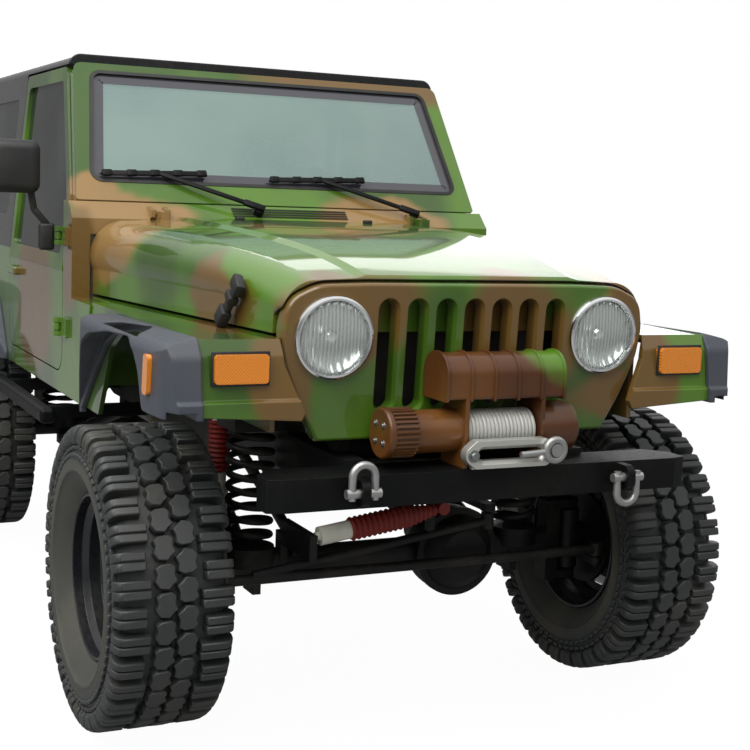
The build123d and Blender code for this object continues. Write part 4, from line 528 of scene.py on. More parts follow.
def finishes():
    """Every finish, by the record's slot name or the scene's own."""
    paint = bpy.context.scene.offroad_paint
    # Colour, roughness, share of dust, grain in metres, then what else the finish has
    plain = {
        "hardtop_black": (tone("0c0d0e"), 0.25, 0.06, 0.0,
                          {"coat_weight": 0.8, "coat_roughness": 0.1, "edge": 0.008}),
        "trim_plastic": (paint.plastic, 0.42, 0.20, 0.0006, {"edge": 0.008}),
        "tyre_rubber": (paint.rubber, 0.50, 0.40, 0.0005, {}),
        "sidewall": (tone("3a3b36"), 0.60, 0.75, 0.0004, {}),
        "wheel_black": (tone("181a1e"), 0.26, 0.25, 0.0, {"edge": 0.003, "specular_ior_level": 0.5}),
        "chassis_black": (tone("0b0c0c"), 0.50, 0.28, 0.0, {"edge": 0.003, "specular_ior_level": 0.3}),
        "bumper_black": (tone("090a0b"), 0.45, 0.05, 0.0003, {"edge": 0.003, "specular_ior_level": 0.15}),
        "cast_metal": (tone("201f1d"), 0.55, 0.45, 0.0006, {"metallic": 0.4, "edge": 0.004}),
        "exhaust_steel": (tone("6d655c"), 0.42, 0.40, 0.0, {"metallic": 0.8}),
        "tank_plastic": (tone("1c1c1c"), 0.55, 0.40, 0.0, {}),
        "damper_white": (tone("d8d6c8"), 0.35, 0.35, 0.0, {}),
        "boot_red": (paint.red, 0.55, 0.25, 0.0, {}),
        "winch_line": (tone("b9b9b3"), 0.50, 0.20, 0.0006, {"metallic": 0.3}),
        "aluminium": (tone("c9c9c2"), 0.30, 0.15, 0.0003, {"metallic": 0.75, "edge": 0.003}),
        "galvanised": (tone("a7a8a6"), 0.34, 0.25, 0.0004, {"metallic": 0.85}),
        "seat_fabric": (tone("4a4b4a"), 0.85, 0.15, 0.0008, {}),
        "cabin_plastic": (tone("2b2c2c"), 0.55, 0.15, 0.0005, {}),
        "bar_black": (tone("141414"), 0.50, 0.10, 0.0004, {}),
        "lamp_glass": (tone("d8dcd8"), 0.08, 0.05, 0.0, {"metallic": 0.6}),
        "rubber_black": (tone("121212"), 0.50, 0.18, 0.0004, {}),
        "chrome": (tone("e4e6e6"), 0.05, 0.06, 0.0, {"metallic": 1.0}),
        "bolt_steel": (tone("8d8f8e"), 0.35, 0.25, 0.0003, {"metallic": 0.9}),
        "screen_band": (tone("35353b"), 0.10, 0.05, 0.0, {"coat_weight": 1.0}),
    }
    made = {name: dusty(name, *row, **more) for name, (*row, more) in plain.items()}
    # Each paint mixes its second colour in as painted shade, in noise clouds
    made["body_paint"] = camouflage("body_paint", paint.green, paint.dark, PATCHES,
                                    coat_weight=1.0, coat_roughness=0.05, specular_ior_level=0.2)
    made["winch_paint"] = camouflage("winch_paint", tone("6b4116"), paint.winch_painted_shade, WINCH_PATCHES,
                                     coat_weight=0.5, coat_roughness=0.15, specular_ior_level=0.2)
    made["lamp_amber"] = moulded("lamp_amber", paint.amber, tone("a4500a"))
    made["lamp_red"] = moulded("lamp_red", tone("b0140a"), tone("5c0604"))
    made["reflector"] = fluted("reflector", tone("a4aaa6"), 0.14, metallic=1.0)
    made["lens"] = ribbed("lens")
    made["glass"] = tinted("glass", paint.glass, tone("869b95"), 0.54, 0.6, 1.3)
    made["side_glass"] = tinted("side_glass", tone("1d211f"), tone("343a37"), 0.72, 0.4, 1.6)
    return made


# Places

def spot(x, y, z):
    """A point given in metres from the point under the middle of the front axle."""
    return Vector((x, y, z)) + AXLE


def beside(side, place):
    """A point on one side, 1 for the left and -1 for the right, from the left one's place."""
    x, y, z = place
    return spot(side * x, y, z)


def on_screen(x, up, out):
    """A point on the windscreen's plane: across, up from its foot and out from it."""
    return spot(x, *SCREEN_FOOT) + SCREEN_UP * up + SCREEN_OUT * out


def around(node):
    """The middle of a CAD node's box."""
    low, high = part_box(node)
    return (low + high) / 2


def aim(place, along, up=(0, 0, 1)):
    """A placing matrix whose X axis runs along a direction."""
    x = Vector(along).normalized()
    y = Vector(up).cross(x)
    if y.length < 0.001:
        y = Vector((0, 1, 0))
    y.normalize()
    turn = Matrix((x, y, x.cross(y))).transposed().to_4x4()
    return Matrix.Translation(place) @ turn


# Mesh helpers

def cluster(bm, before):
    """The vertices added since a set of them was taken."""
    return [v for v in bm.verts if v not in before]


def lathe(bm, profile, place, steps=48, loop=True):
    """Spins (along, radius) points about the X axis of a placing matrix."""
    before = set(bm.verts)
    line = [bm.verts.new((along, 0.0, radius)) for along, radius in profile]
    pairs = list(zip(line, line[1:]))
    if loop:
        pairs.append((line[-1], line[0]))
    edges = [bm.edges.new(pair) for pair in pairs]
    bmesh.ops.spin(bm, geom=line + edges, cent=(0, 0, 0), axis=(1, 0, 0), angle=2 * math.pi, steps=steps,
                   use_merge=True)
    new = cluster(bm, before)
    bmesh.ops.remove_doubles(bm, verts=new, dist=0.00001)
    new = cluster(bm, before)
    bmesh.ops.transform(bm, matrix=place, verts=new)


def prism(bm, outline, depth, place, bevel=0.0, segments=2):
    """A flat outline of (x, y) points run along Z by depth, its edges rounded, then placed."""
    before = set(bm.verts)
    rim = [bm.verts.new((x, y, 0.0)) for x, y in outline]
    face = bmesh.ops.contextual_create(bm, geom=rim)["faces"][0]
    top = bmesh.ops.extrude_face_region(bm, geom=[face])["geom"]
    lifted = [v for v in top if isinstance(v, bmesh.types.BMVert)]
    bmesh.ops.translate(bm, vec=(0, 0, depth), verts=lifted)
    new = cluster(bm, before)
    if bevel:
        edges = {e for v in new for e in v.link_edges}
        bmesh.ops.bevel(bm, geom=list(edges), offset=bevel, offset_type="OFFSET", segments=segments,
                        profile=0.5, affect="EDGES", material=-1, clamp_overlap=True)
        new = cluster(bm, before)
    bmesh.ops.transform(bm, matrix=place, verts=new)


def block(bm, size, place, bevel, segments=2):
    """A rounded block about the middle of a placing matrix."""
    x, y, z = (s / 2 for s in size)
    outline = ((-x, -y), (x, -y), (x, y), (-x, y))
    prism(bm, outline, 2 * z, place @ Matrix.Translation((0, 0, -z)), bevel, segments)


def wire(name, points, radius, sides):
    """A round bar through points, as a mesh."""
    curve = bpy.data.curves.new(name, "CURVE")
    curve.dimensions = "3D"
    curve.bevel_depth = radius
    curve.bevel_resolution = sides
    curve.use_fill_caps = True
    run = curve.splines.new("POLY")
    run.points.add(len(points) - 1)
    for point, co in zip(run.points, points):
        point.co = (*co, 1.0)
    holder = bpy.data.objects.new(name, curve)
    mesh = bpy.data.meshes.new_from_object(holder)
    bpy.data.objects.remove(holder)
    bpy.data.curves.remove(curve)
    bm = bmesh.new()
    bm.from_mesh(mesh)
    bpy.data.meshes.remove(mesh)
    return bm


def bolt(bm, place, along, radius, height=None):
    """A hexagon head with a washer."""
    tall = height or radius * 0.7
    washer = [(0, 0.0001), (0, radius * 1.5), (tall * 0.25, radius * 1.45), (tall * 0.3, 0.0001)]
    lathe(bm, washer, aim(place, along), 20, loop=False)
    outline = [(radius * math.cos(k * math.pi / 3), radius * math.sin(k * math.pi / 3)) for k in range(6)]
    turn = aim(place, along) @ Matrix.Rotation(math.pi / 2, 4, "Y")
    prism(bm, outline, tall * 1.25, turn, radius * 0.12, 1)


def pad(bm, half, place, channels=0, face=2):
    """A crowned cushion with soft corners, and sewn channels across the face that an axis names."""
    squareness = 4.5
    sink = min(bpy.context.scene.offroad_seat.sink, 0.12 * half[face])
    before = set(bm.verts)
    cube = bmesh.ops.create_cube(bm, size=2.0)["verts"]
    edges = list({e for v in cube for e in v.link_edges})
    bmesh.ops.subdivide_edges(bm, edges=edges, cuts=39 if channels else 11, use_grid_fill=True)
    new = cluster(bm, before)
    for v in new:
        norm = sum(abs(c) ** squareness for c in v.co) ** (1 / squareness)
        unit = v.co / norm
        v.co = Vector(c * h for c, h in zip(unit, half))
        if channels:
            across = (unit.x * 0.5 + 0.5) * (channels + 1)
            inside = 0.5 < across < channels + 0.5
            groove = math.exp(-((across - round(across)) / 0.13) ** 2) if inside else 0.0
            v.co[face] -= math.copysign(sink * groove, v.co[face]) * abs(unit[face])
    bmesh.ops.transform(bm, matrix=place, verts=new)


def piece_from(bm, name, *materials):
    """Ends a bmesh as a new object at the origin, with its normals outward."""
    bmesh.ops.remove_doubles(bm, verts=bm.verts, dist=0.00001)
    bmesh.ops.recalc_face_normals(bm, faces=bm.faces)
    mesh = bpy.data.meshes.new(name)
    bm.to_mesh(mesh)
    bm.free()
    mesh.shade_smooth()
    mesh.set_sharp_from_angle(angle=math.radians(38))
    made = bpy.data.objects.new(name, mesh)
    bpy.context.scene.collection.objects.link(made)
    for material in materials:
        mesh.materials.append(material)
    return made


def place_piece(bm, name, finish, body, replaced=()):
    """Ends a piece, with its finish, its body and the nodes that it stands for."""
    made = piece_from(bm, name, MADE[finish])
    if replaced:
        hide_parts(*replaced)
    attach(made, body)
    return made


# Pieces

# Outline of a middle tread block, across and round the tyre in metres
JIGSAW = ((0.004, -0.024), (0.016, -0.032), (0.040, -0.030), (0.054, -0.020), (0.049, -0.004), (0.056, 0.012),
          (0.046, 0.029), (0.022, 0.032), (0.012, 0.020), (-0.001, 0.011), (0.007, -0.006))


class OFFROAD_OT_tyres(bpy.types.Operator):
    """Builds the five mud tyres with their tread blocks and side lugs."""
    bl_idname = "offroad.tyres"
    bl_label = "Tyres"

    def execute(self, context):
        tyre = context.scene.offroad_tyre
        for node, body in TYRES.items():
            low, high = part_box(node)
            size = high - low
            spare = size.y < size.x
            width = min(size.x, size.y) / 2
            radius = size.z / 2
            bm = bmesh.new()
            self.casing(bm, radius, width, tyre)
            self.tread(bm, radius, width, tyre)
            for face in bm.faces:
                middle = face.calc_center_median()
                if abs(middle.x) > 0.6 * width and middle.yz.length < radius - tyre.shoulder:
                    face.material_index = 1
            turn = Matrix.Rotation(math.pi / 2, 4, "Z") if spare else Matrix.Identity(4)
            bmesh.ops.transform(bm, matrix=Matrix.Translation((low + high) / 2) @ turn, verts=bm.verts)
            made = piece_from(bm, node + "_tread", MADE["tyre_rubber"], MADE["sidewall"])
            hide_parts(node)
            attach(made, body)
        return {"FINISHED"}

    def casing(self, bm, radius, width, tyre):
        """The carcass: beads, ribbed sidewalls and the tread floor."""
        floor = radius - tyre.depth
        bead = tyre.bead
        # Share of the half width, and radius
        half = [
            (0.66, bead), (0.72, bead + 0.008), (0.80, bead + 0.022), (0.92, bead + 0.046),
            (0.965, bead + 0.060), (0.985, bead + 0.062), (0.99, bead + 0.068), (0.975, bead + 0.072),
            (0.99, bead + 0.092),
            (0.965, floor - 0.056), (0.90, floor - 0.032), (0.80, floor - 0.012), (0.66, floor - 0.003),
            (0.36, floor), (0.0, floor + 0.001),
        ]
        line = [(-x * width, r) for x, r in half] + [(x * width, r) for x, r in reversed(half[:-1])]
        lathe(bm, line, Matrix.Identity(4), tyre.steps)

    def tread(self, bm, radius, width, tyre):
        """One double pitch of blocks, then copies of it round the tyre."""
        pitch = 2 * math.pi / tyre.pitches
        low = radius - tyre.depth - tyre.root
        top = radius - tyre.crown
        before = set(bm.verts)
        # Pitch, and share of the half width where its lug starts
        for turn, inner in ((0.0, 0.40), (1.0, 0.47)):
            for side in (-1, 1):
                angle = (turn + (0.5 if side > 0 else 0.0)) * pitch
                across = Matrix.Diagonal((side, 1, 1, 1))
                stand = Matrix.Rotation(angle, 4, "X") @ across @ Matrix.Rotation(math.pi / 2, 4, "X")
                self.lug(bm, inner * width, width, low, top, stand, tyre)
                self.biters(bm, radius, width, pitch, turn, side)
                angle = (turn + (0.10 if side > 0 else 0.60)) * pitch
                flip = Matrix.Rotation(math.pi, 4, "Z") if side < 0 else Matrix.Identity(4)
                place = Matrix.Rotation(angle, 4, "X") @ Matrix.Translation((0, 0, low)) @ flip
                prism(bm, JIGSAW, top - low, place, tyre.bevel * 0.7, 1)
        geom = cluster(bm, before)
        faces = list({f for v in geom for f in v.link_faces})
        edges = list({e for v in geom for e in v.link_edges})
        doubles = tyre.pitches // 2
        bmesh.ops.spin(bm, geom=geom + edges + faces, cent=(0, 0, 0), axis=(1, 0, 0),
                       angle=2 * math.pi * (doubles - 1) / doubles, steps=doubles - 1, use_duplicate=True)

    def lug(self, bm, start, width, low, top, stand, tyre):
        """A shoulder lug in two halves, with the sunk web between them."""
        # Share of the half width, and drop from the top
        rim = [(0.84, 0.0005), (0.93, 0.006), (0.978, 0.020), (0.996, 0.042), (0.95, 0.054)]
        outline = [(start, low), (start + 0.003, top)]
        outline += [(x * width, top - drop) for x, drop in rim] + [(0.80 * width, low - 0.02)]
        half = (tyre.lug - tyre.slit) / 2
        for edge in (-tyre.lug / 2, tyre.slit / 2):
            prism(bm, outline, half, stand @ Matrix.Translation((0, 0, edge)), tyre.bevel, 1)
        floor = top - tyre.slit_depth
        inset = 0.004
        overlap = 0.003
        web = [(start + inset, low), (start + 0.006, floor)]
        web += [(x * width - inset, floor - drop) for x, drop in rim[:4]] + [(0.80 * width, low - 0.01)]
        edge = -tyre.slit / 2 - overlap
        prism(bm, web, tyre.slit + 2 * overlap, stand @ Matrix.Translation((0, 0, edge)))

    def biters(self, bm, radius, width, pitch, turn, side):
        """Two rows of small blocks under the shoulder."""
        # Drop from the tread, share of the half width, share of a pitch
        for drop, x, share in ((0.063, 0.915, 0.0), (0.083, 0.955, 0.25)):
            for step in (0.0, 0.5):
                angle = (turn + step + share) * pitch
                stand = Matrix.Translation((side * x * width, 0, radius - drop))
                block(bm, (0.013, 0.021, 0.013), Matrix.Rotation(angle, 4, "X") @ stand, 0.0025, 1)


class OFFROAD_OT_wheels(bpy.types.Operator):
    """Adds the wheel nuts."""
    bl_idname = "offroad.wheels"
    bl_label = "Wheel nuts"

    def execute(self, context):
        wheel = context.scene.offroad_wheel
        for node, body in WHEELS.items():
            bm = bmesh.new()
            low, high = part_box(node)
            middle = (low + high) / 2
            spare = (high - low).y < (high - low).x
            out = Vector((0, 1, 0)) if spare else Vector((1 if middle.x > 0 else -1, 0, 0))
            side = out.cross(Vector((0, 0, 1)))
            for k in range(wheel.nuts):
                angle = 2 * math.pi * (k + 0.25) / wheel.nuts
                spoke = side * math.cos(angle) + Vector((0, 0, 1)) * math.sin(angle)
                place = middle + out * wheel.face + spoke * wheel.circle
                bolt(bm, place, out, wheel.nut, wheel.nut_height)
            place_piece(bm, node + "_nuts", "bolt_steel", body)
        return {"FINISHED"}


class OFFROAD_OT_lamps(bpy.types.Operator):
    """Builds the headlamps and the frames of the signals."""
    bl_idname = "offroad.lamps"
    bl_label = "Lamps"

    def execute(self, context):
        lamp = context.scene.offroad_lamp
        out = Vector((0.0, -1.0, -lamp.lean)).normalized()
        rings, bowls, lenses, bulbs = (bmesh.new() for _ in range(4))
        r = lamp.radius
        for side in (-1, 1):
            place = aim(spot(side * lamp.x, lamp.y, lamp.z), out)
            lathe(rings, [(-0.004, r), (0.008, r), (0.015, r - 0.003), (0.0175, r - 0.008),
                          (0.016, r - 0.013), (0.008, r - 0.016), (-0.004, r - 0.017)], place)
            lathe(bowls, [(0.000, r - 0.016), (-0.010, r - 0.024), (-0.020, r - 0.042), (-0.027, r - 0.066),
                          (-0.030, 0.014), (-0.031, 0.0001)], place, loop=False)
            lathe(lenses, [(0.006, r - 0.0155), (0.0105, r - 0.026), (0.0145, r - 0.050), (0.0172, 0.030),
                           (0.0180, 0.0001)], place, loop=False)
            lathe(bulbs, [(-0.030, 0.0001), (-0.030, 0.016), (-0.010, 0.017), (-0.004, 0.012),
                          (-0.002, 0.0001)], place, 24, loop=False)
        place_piece(rings, "headlamp_rings", "chrome", "chassis", ("headlamps",))
        place_piece(bowls, "headlamp_reflectors", "reflector", "chassis")
        place_piece(lenses, "headlamp_lenses", "lens", "chassis")
        place_piece(bulbs, "headlamp_bulbs", "chrome", "chassis")
        frames = bmesh.new()
        rim = 0.012
        size = (lamp.signal_x + rim, 0.006, lamp.signal_z + rim)
        for side in (-1, 1):
            block(frames, size, Matrix.Translation(beside(side, lamp.signal_at)), 0.0028)
        place_piece(frames, "signal_frames", "rubber_black", "chassis")
        return {"FINISHED"}


class OFFROAD_OT_screen(bpy.types.Operator):
    """Lays the dark band and the rubber seal round the windscreen glass."""
    bl_idname = "offroad.screen"
    bl_label = "Windscreen"

    def execute(self, context):
        screen = context.scene.offroad_screen
        band, out = self.band(screen.band)
        bmesh.ops.translate(band, vec=out * 0.0006, verts=band.verts)
        place_piece(band, "screen_band", "screen_band", "chassis")
        seal, out = self.band(screen.seal)
        ring = bmesh.ops.extrude_face_region(seal, geom=seal.faces[:])["geom"]
        lifted = [v for v in ring if isinstance(v, bmesh.types.BMVert)]
        bmesh.ops.translate(seal, vec=out * screen.seal_height, verts=lifted)
        place_piece(seal, "screen_seal", "rubber_black", "chassis")
        return {"FINISHED"}

    def band(self, width):
        """A ring inside the edge of the glass's outer face, and the way out of that face."""
        bm = bmesh.new()
        bm.from_mesh(NODES["windshield_glass"].data)
        bmesh.ops.remove_doubles(bm, verts=bm.verts, dist=0.00005)
        bmesh.ops.recalc_face_normals(bm, faces=bm.faces)
        front = [f for f in bm.faces if f.normal.y < -0.5 and f.normal.z > 0.1]
        out = sum((f.normal for f in front), Vector()).normalized()
        rest = [f for f in bm.faces if f not in set(front)]
        bmesh.ops.delete(bm, geom=rest, context="FACES")
        bmesh.ops.dissolve_faces(bm, faces=bm.faces[:])
        bmesh.ops.inset_region(bm, faces=bm.faces[:], thickness=width, use_even_offset=True,
                               use_boundary=True)
        inner = max(bm.faces, key=lambda f: f.calc_area())
        bmesh.ops.delete(bm, geom=[inner], context="FACES_ONLY")
        return bm, out


class OFFROAD_OT_latches(bpy.types.Operator):
    """Builds the rubber hood latches."""
    bl_idname = "offroad.latches"
    bl_label = "Hood latches"

    def execute(self, context):
        latch = context.scene.offroad_latch
        straps, hooks = bmesh.new(), bmesh.new()
        # Share of the latch's length, and size, of its head, neck and foot
        lumps = ((0.0, (0.036, 0.062, 0.028)), (0.32, (0.024, 0.048, 0.030)), (0.80, (0.048, 0.050, 0.030)))
        for side in (-1, 1):
            top, low = beside(side, latch.top), beside(side, latch.foot)
            run = low - top
            out = Vector((side, 0, 0.25)).normalized()
            place = aim((top + low) / 2 + out * 0.008, run, out)
            block(straps, (run.length, 0.036, 0.018), place, 0.007)
            for share, size in lumps:
                block(straps, size, aim(top + run * share + out * 0.010, run, out), 0.007)
            block(hooks, (0.034, 0.048, 0.010), aim(low + out * 0.004, run, out), 0.003)
        place_piece(straps, "hood_latches", "rubber_black", "chassis")
        place_piece(hooks, "latch_plates", "bumper_black", "chassis")
        return {"FINISHED"}


class OFFROAD_OT_winch(bpy.types.Operator):
    """Winds the rope on the drum and bolts the fairlead."""
    bl_idname = "offroad.winch"
    bl_label = "Winch"

    def execute(self, context):
        winch = context.scene.offroad_winch
        low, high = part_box("winch_rope")
        middle = (low + high) / 2
        radius = (high.z - low.z) / 2 - winch.rope
        run = (high.x - low.x) - 2 * winch.rope
        turns = int(run / (2 * winch.rope))
        points = []
        for i in range(turns * winch.steps + 1):
            angle = 2 * math.pi * i / winch.steps
            x = low.x + winch.rope + run * i / (turns * winch.steps)
            y, z = radius * math.cos(angle), radius * math.sin(angle)
            points.append(Vector((x, middle.y + y, middle.z + z)))
        rope = wire("rope", points, winch.rope, 2)
        lathe(rope, [(-run / 2, 0.0001), (-run / 2, radius), (run / 2, radius), (run / 2, 0.0001)],
              aim(middle, (1, 0, 0)), 32, loop=False)
        place_piece(rope, "winch_rope_turns", "winch_line", "chassis", ("winch_rope",))
        bolts = bmesh.new()
        fair_low, fair_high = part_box("fairlead")
        fair_x = (fair_low.x + fair_high.x) / 2
        for side in (-1, 1):
            place = Vector((fair_x + side * winch.fair_x, fair_low.y, winch.fair_z))
            bolt(bolts, place, (0, -1, 0), 0.011)
        place_piece(bolts, "fairlead_bolts", "bolt_steel", "chassis")
        return {"FINISHED"}


class OFFROAD_OT_boots(bpy.types.Operator):
    """Builds the ribbed rubber boots of the dampers."""
    bl_idname = "offroad.boots"
    bl_label = "Damper boots"

    def execute(self, context):
        damper = context.scene.offroad_damper
        start = spot(*damper.start)
        line = spot(*damper.eye) - start
        along = line.normalized()
        boot = bmesh.new()
        bellows = self.ribs(damper, damper.first, line.length - damper.last, damper.ribs, damper.sleeve)
        lathe(boot, bellows, aim(start, along), 28, loop=False)
        lathe(boot, [(line.length - 0.03, 0.0001), (line.length - 0.03, 0.010), (line.length, 0.010),
                     (line.length, 0.0001)], aim(start, along), 20, loop=False)
        lathe(boot, [(-0.013, 0.0001), (-0.013, 0.018), (0.013, 0.018), (0.013, 0.0001)],
              aim(start + line, (0, 1, 0)), 24, loop=False)
        place_piece(boot, "damper_boot", "boot_red", "damper_rod", ("damper_rod",))
        boots = bmesh.new()
        for side in (-1, 1):
            stand = aim(beside(side, damper.shock_at), (0, 0, 1), (0, 1, 0))
            bellows = self.ribs(damper, 0.0, damper.shock_boot, damper.shock_ribs, None)
            lathe(boots, bellows, stand, 28, loop=False)
        place_piece(boots, "shock_boots", "boot_red", "chassis")
        return {"FINISHED"}

    def ribs(self, damper, first, last, count, sleeve):
        """Bellows from one distance to another; past the sleeve they taper."""
        line = []
        for i in range(count * 2 + 1):
            at = first + (last - first) * i / (count * 2)
            crest = damper.crest
            if sleeve and at > sleeve:
                crest -= damper.taper * (at - sleeve) / (last - sleeve)
            line.append((at, crest if i % 2 else crest - damper.groove))
        return line


class OFFROAD_OT_seats(bpy.types.Operator):
    """Builds the padded front seats and the bench."""
    bl_idname = "offroad.seats"
    bl_label = "Seats"

    def execute(self, context):
        seat = context.scene.offroad_seat
        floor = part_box("seats")[0].z
        lean = Matrix.Rotation(seat.lean, 4, "X")
        x, y = seat.front
        # Name, place across, Y of the back, half width, share of a front seat's height, channels, headrests
        rows = (("seat_left", x, y, seat.front_half, 1.0, 4, (0,)),
                ("seat_right", -x, y, seat.front_half, 1.0, 4, (0,)),
                ("bench", 0.0, seat.bench, seat.bench_half, 0.92, 7, (-1, 1)))
        for name, x, y, half, tall, channels, headrests in rows:
            bm = bmesh.new()
            foot = spot(x, y, floor)
            cushion = Matrix.Translation(foot + Vector((0, -0.34, 0.135 * tall)))
            pad(bm, (half, 0.20, 0.080), cushion, channels, 2)
            back = Matrix.Translation(foot + Vector((0, -0.099, 0.39 * tall))) @ lean
            pad(bm, (half * 0.97, 0.062, 0.24 * tall), back, channels, 1)
            pad(bm, (half * 0.9, 0.18, 0.06), Matrix.Translation(foot + Vector((0, -0.32, 0.06))))
            for side in headrests:
                rest = foot + Vector((side * half * 0.5, -0.066, 0.665 * tall))
                pad(bm, (0.125, 0.045, 0.052), Matrix.Translation(rest) @ lean)
            made = place_piece(bm, name + "_pads", "seat_fabric", "chassis",
                               ("seats",) if name == "bench" else ())
        return {"FINISHED"}


class OFFROAD_OT_fittings(bpy.types.Operator):
    """Adds the cowl slots, washer nozzles, cabin mirror, motor bolts and the plate under the winch."""
    bl_idname = "offroad.fittings"
    bl_label = "Small fittings"

    def execute(self, context):
        fit = context.scene.offroad_fittings
        dark = bmesh.new()
        for side in (-1, 1):
            block(dark, (0.030, 0.022, 0.014), Matrix.Translation(beside(side, fit.nozzle)), 0.005)
        slope = Vector((0, 0.73, 0.68))
        face = Vector((0, -0.68, 0.73))
        length, y, z = fit.vent
        for k in range(fit.vents):
            place = spot(0.0, y, z) + slope * (k * fit.vent_step)
            block(dark, (length, 0.0045, 0.0022), aim(place, (1, 0, 0), face), 0.0008)
        mirror = spot(*fit.mirror)
        block(dark, (0.235, 0.022, 0.066), Matrix.Translation(mirror), 0.010)
        block(dark, (0.016, 0.014, 0.075), Matrix.Translation(mirror + Vector((0, 0.004, 0.055))), 0.004)
        place_piece(dark, "cowl_fittings", "rubber_black", "chassis")
        motor = bmesh.new()
        end = around("winch_rope")
        end.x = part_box("winch_housing")[0].x
        for k in range(4):
            angle = math.pi / 4 + k * math.pi / 2
            spoke = Vector((0, math.cos(angle), math.sin(angle)))
            bolt(motor, end + spoke * context.scene.offroad_winch.circle, (-1, 0, 0), 0.006)
        place_piece(motor, "winch_bolts", "bolt_steel", "chassis")
        plate = bmesh.new()
        width, depth, thick = fit.plate
        overlap, flange = 0.05, 0.060
        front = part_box("front_bumper")[1].y - overlap
        middle = (AXLE.x, front + depth / 2, fit.plate_z)
        rear = (AXLE.x, front + depth - thick / 2, fit.plate_z + flange / 2)
        block(plate, (width, depth, thick), Matrix.Translation(middle), 0.002)
        block(plate, (width, thick, flange), Matrix.Translation(rear), 0.002)
        place_piece(plate, "winch_plate", "bumper_black", "chassis")
        return {"FINISHED"}


class OFFROAD_OT_engine(bpy.types.Operator):
    """Adds the rocker cover, its bolts, the filler cap and the air filter on the engine block."""
    bl_idname = "offroad.engine"
    bl_label = "Engine top"

    def execute(self, context):
        fit = context.scene.offroad_fittings
        foot = spot(*fit.engine)
        cover, metal = bmesh.new(), bmesh.new()
        block(cover, (0.150, 0.500, 0.050), Matrix.Translation(foot + Vector((0, 0, 0.025))), 0.014, 3)
        for k in range(7):
            rib = foot + Vector((0, -0.195 + k * 0.065, 0.049))
            block(cover, (0.120, 0.012, 0.010), Matrix.Translation(rib), 0.003)
        block(cover, (0.182, 0.530, 0.012), Matrix.Translation(foot + Vector((0, 0, 0.006))), 0.003)
        filter_foot = foot + Vector((-0.155, -0.06, 0.0))
        shell = [(0.0, 0.0001), (0.0, 0.060), (0.012, 0.064), (0.016, 0.072), (0.046, 0.072), (0.052, 0.066),
                 (0.056, 0.020), (0.058, 0.0001)]
        lathe(cover, shell, aim(filter_foot, (0, 0, 1), (0, 1, 0)), 40, loop=False)
        bolt(metal, filter_foot + Vector((0, 0, 0.057)), (0, 0, 1), 0.007)
        for side in (-1, 1):
            for k in range(5):
                bolt(metal, foot + Vector((side * 0.083, -0.22 + k * 0.11, 0.012)), (0, 0, 1), 0.006)
        lathe(metal, [(0.0, 0.0001), (0.0, 0.026), (0.014, 0.026), (0.018, 0.020), (0.018, 0.0001)],
              aim(foot + Vector((0.02, 0.215, 0.049)), (0, 0, 1), (0, 1, 0)), 24, loop=False)
        place_piece(cover, "engine_top", "cast_metal", "chassis")
        place_piece(metal, "engine_bolts", "bolt_steel", "chassis")
        return {"FINISHED"}


class OFFROAD_OT_wipers(bpy.types.Operator):
    """Builds the wipers with their arms, blades and rubbers."""
    bl_idname = "offroad.wipers"
    bl_label = "Wipers"

    def execute(self, context):
        wiper = context.scene.offroad_wiper
        bm = bmesh.new()
        out = SCREEN_OUT
        for x in wiper.pivots:
            foot, cap, root = spot(x, *wiper.foot), spot(x, *wiper.cap), spot(x, *wiper.root)
            tall = (cap - foot).length
            pivot = [(0, 0.0001), (0, 0.016), (tall * 0.6, 0.016), (tall * 0.65, 0.011), (tall * 0.9, 0.011),
                     (tall, 0.006), (tall, 0.0001)]
            lathe(bm, pivot, aim(foot, cap - foot), 24, loop=False)
            reach, low, high = (on_screen(x + across, up, off) for across, up, off in
                                (wiper.reach, wiper.blade_low, wiper.blade_high))
            run = reach - root
            block(bm, (0.075, 0.022, 0.016), aim(root + run * 0.06, run, out), 0.005)
            block(bm, (run.length * 0.90, 0.016, 0.010), aim(root + run * 0.54, run, out), 0.004)
            along = high - low
            middle = (low + high) / 2
            block(bm, (along.length, 0.006, 0.010), aim(middle + out * 0.005, along, out), 0.001)
            block(bm, (along.length * 0.98, 0.019, 0.008), aim(middle + out * 0.012, along, out), 0.003)
            for share in (-0.45, -0.22, 0.0, 0.22, 0.45):
                block(bm, (0.034, 0.023, 0.012), aim(middle + along * share + out * 0.014, along, out), 0.004)
        place_piece(bm, "wiper_arms", "bumper_black", "chassis", ("wipers",))
        return {"FINISHED"}


class OFFROAD_OT_mirror(bpy.types.Operator):
    """Builds the door mirror with its rounded head and its glass."""
    bl_idname = "offroad.mirror"
    bl_label = "Door mirror"

    def execute(self, context):
        mirror = context.scene.offroad_mirror
        bm, glass = bmesh.new(), bmesh.new()
        block(bm, mirror.size, Matrix.Translation(spot(*mirror.head)), 0.030, 5)
        neck, knee, foot = (spot(*point) for point in (mirror.neck, mirror.knee, mirror.foot))
        for start, end in ((neck, knee), (knee, foot)):
            run = end - start
            block(bm, (run.length + 0.016, 0.022, 0.022), aim((start + end) / 2, run, (0, 1, 0)), 0.008, 3)
        block(bm, (0.050, 0.034, 0.088), Matrix.Translation(spot(*mirror.base)), 0.010, 3)
        block(glass, (0.124, 0.004, 0.136), Matrix.Translation(spot(*mirror.glass)), 0.0015)
        place_piece(bm, "mirror_head", "rubber_black", "door_right", ("mirror_right",))
        place_piece(glass, "mirror_glass", "chrome", "door_right")
        return {"FINISHED"}


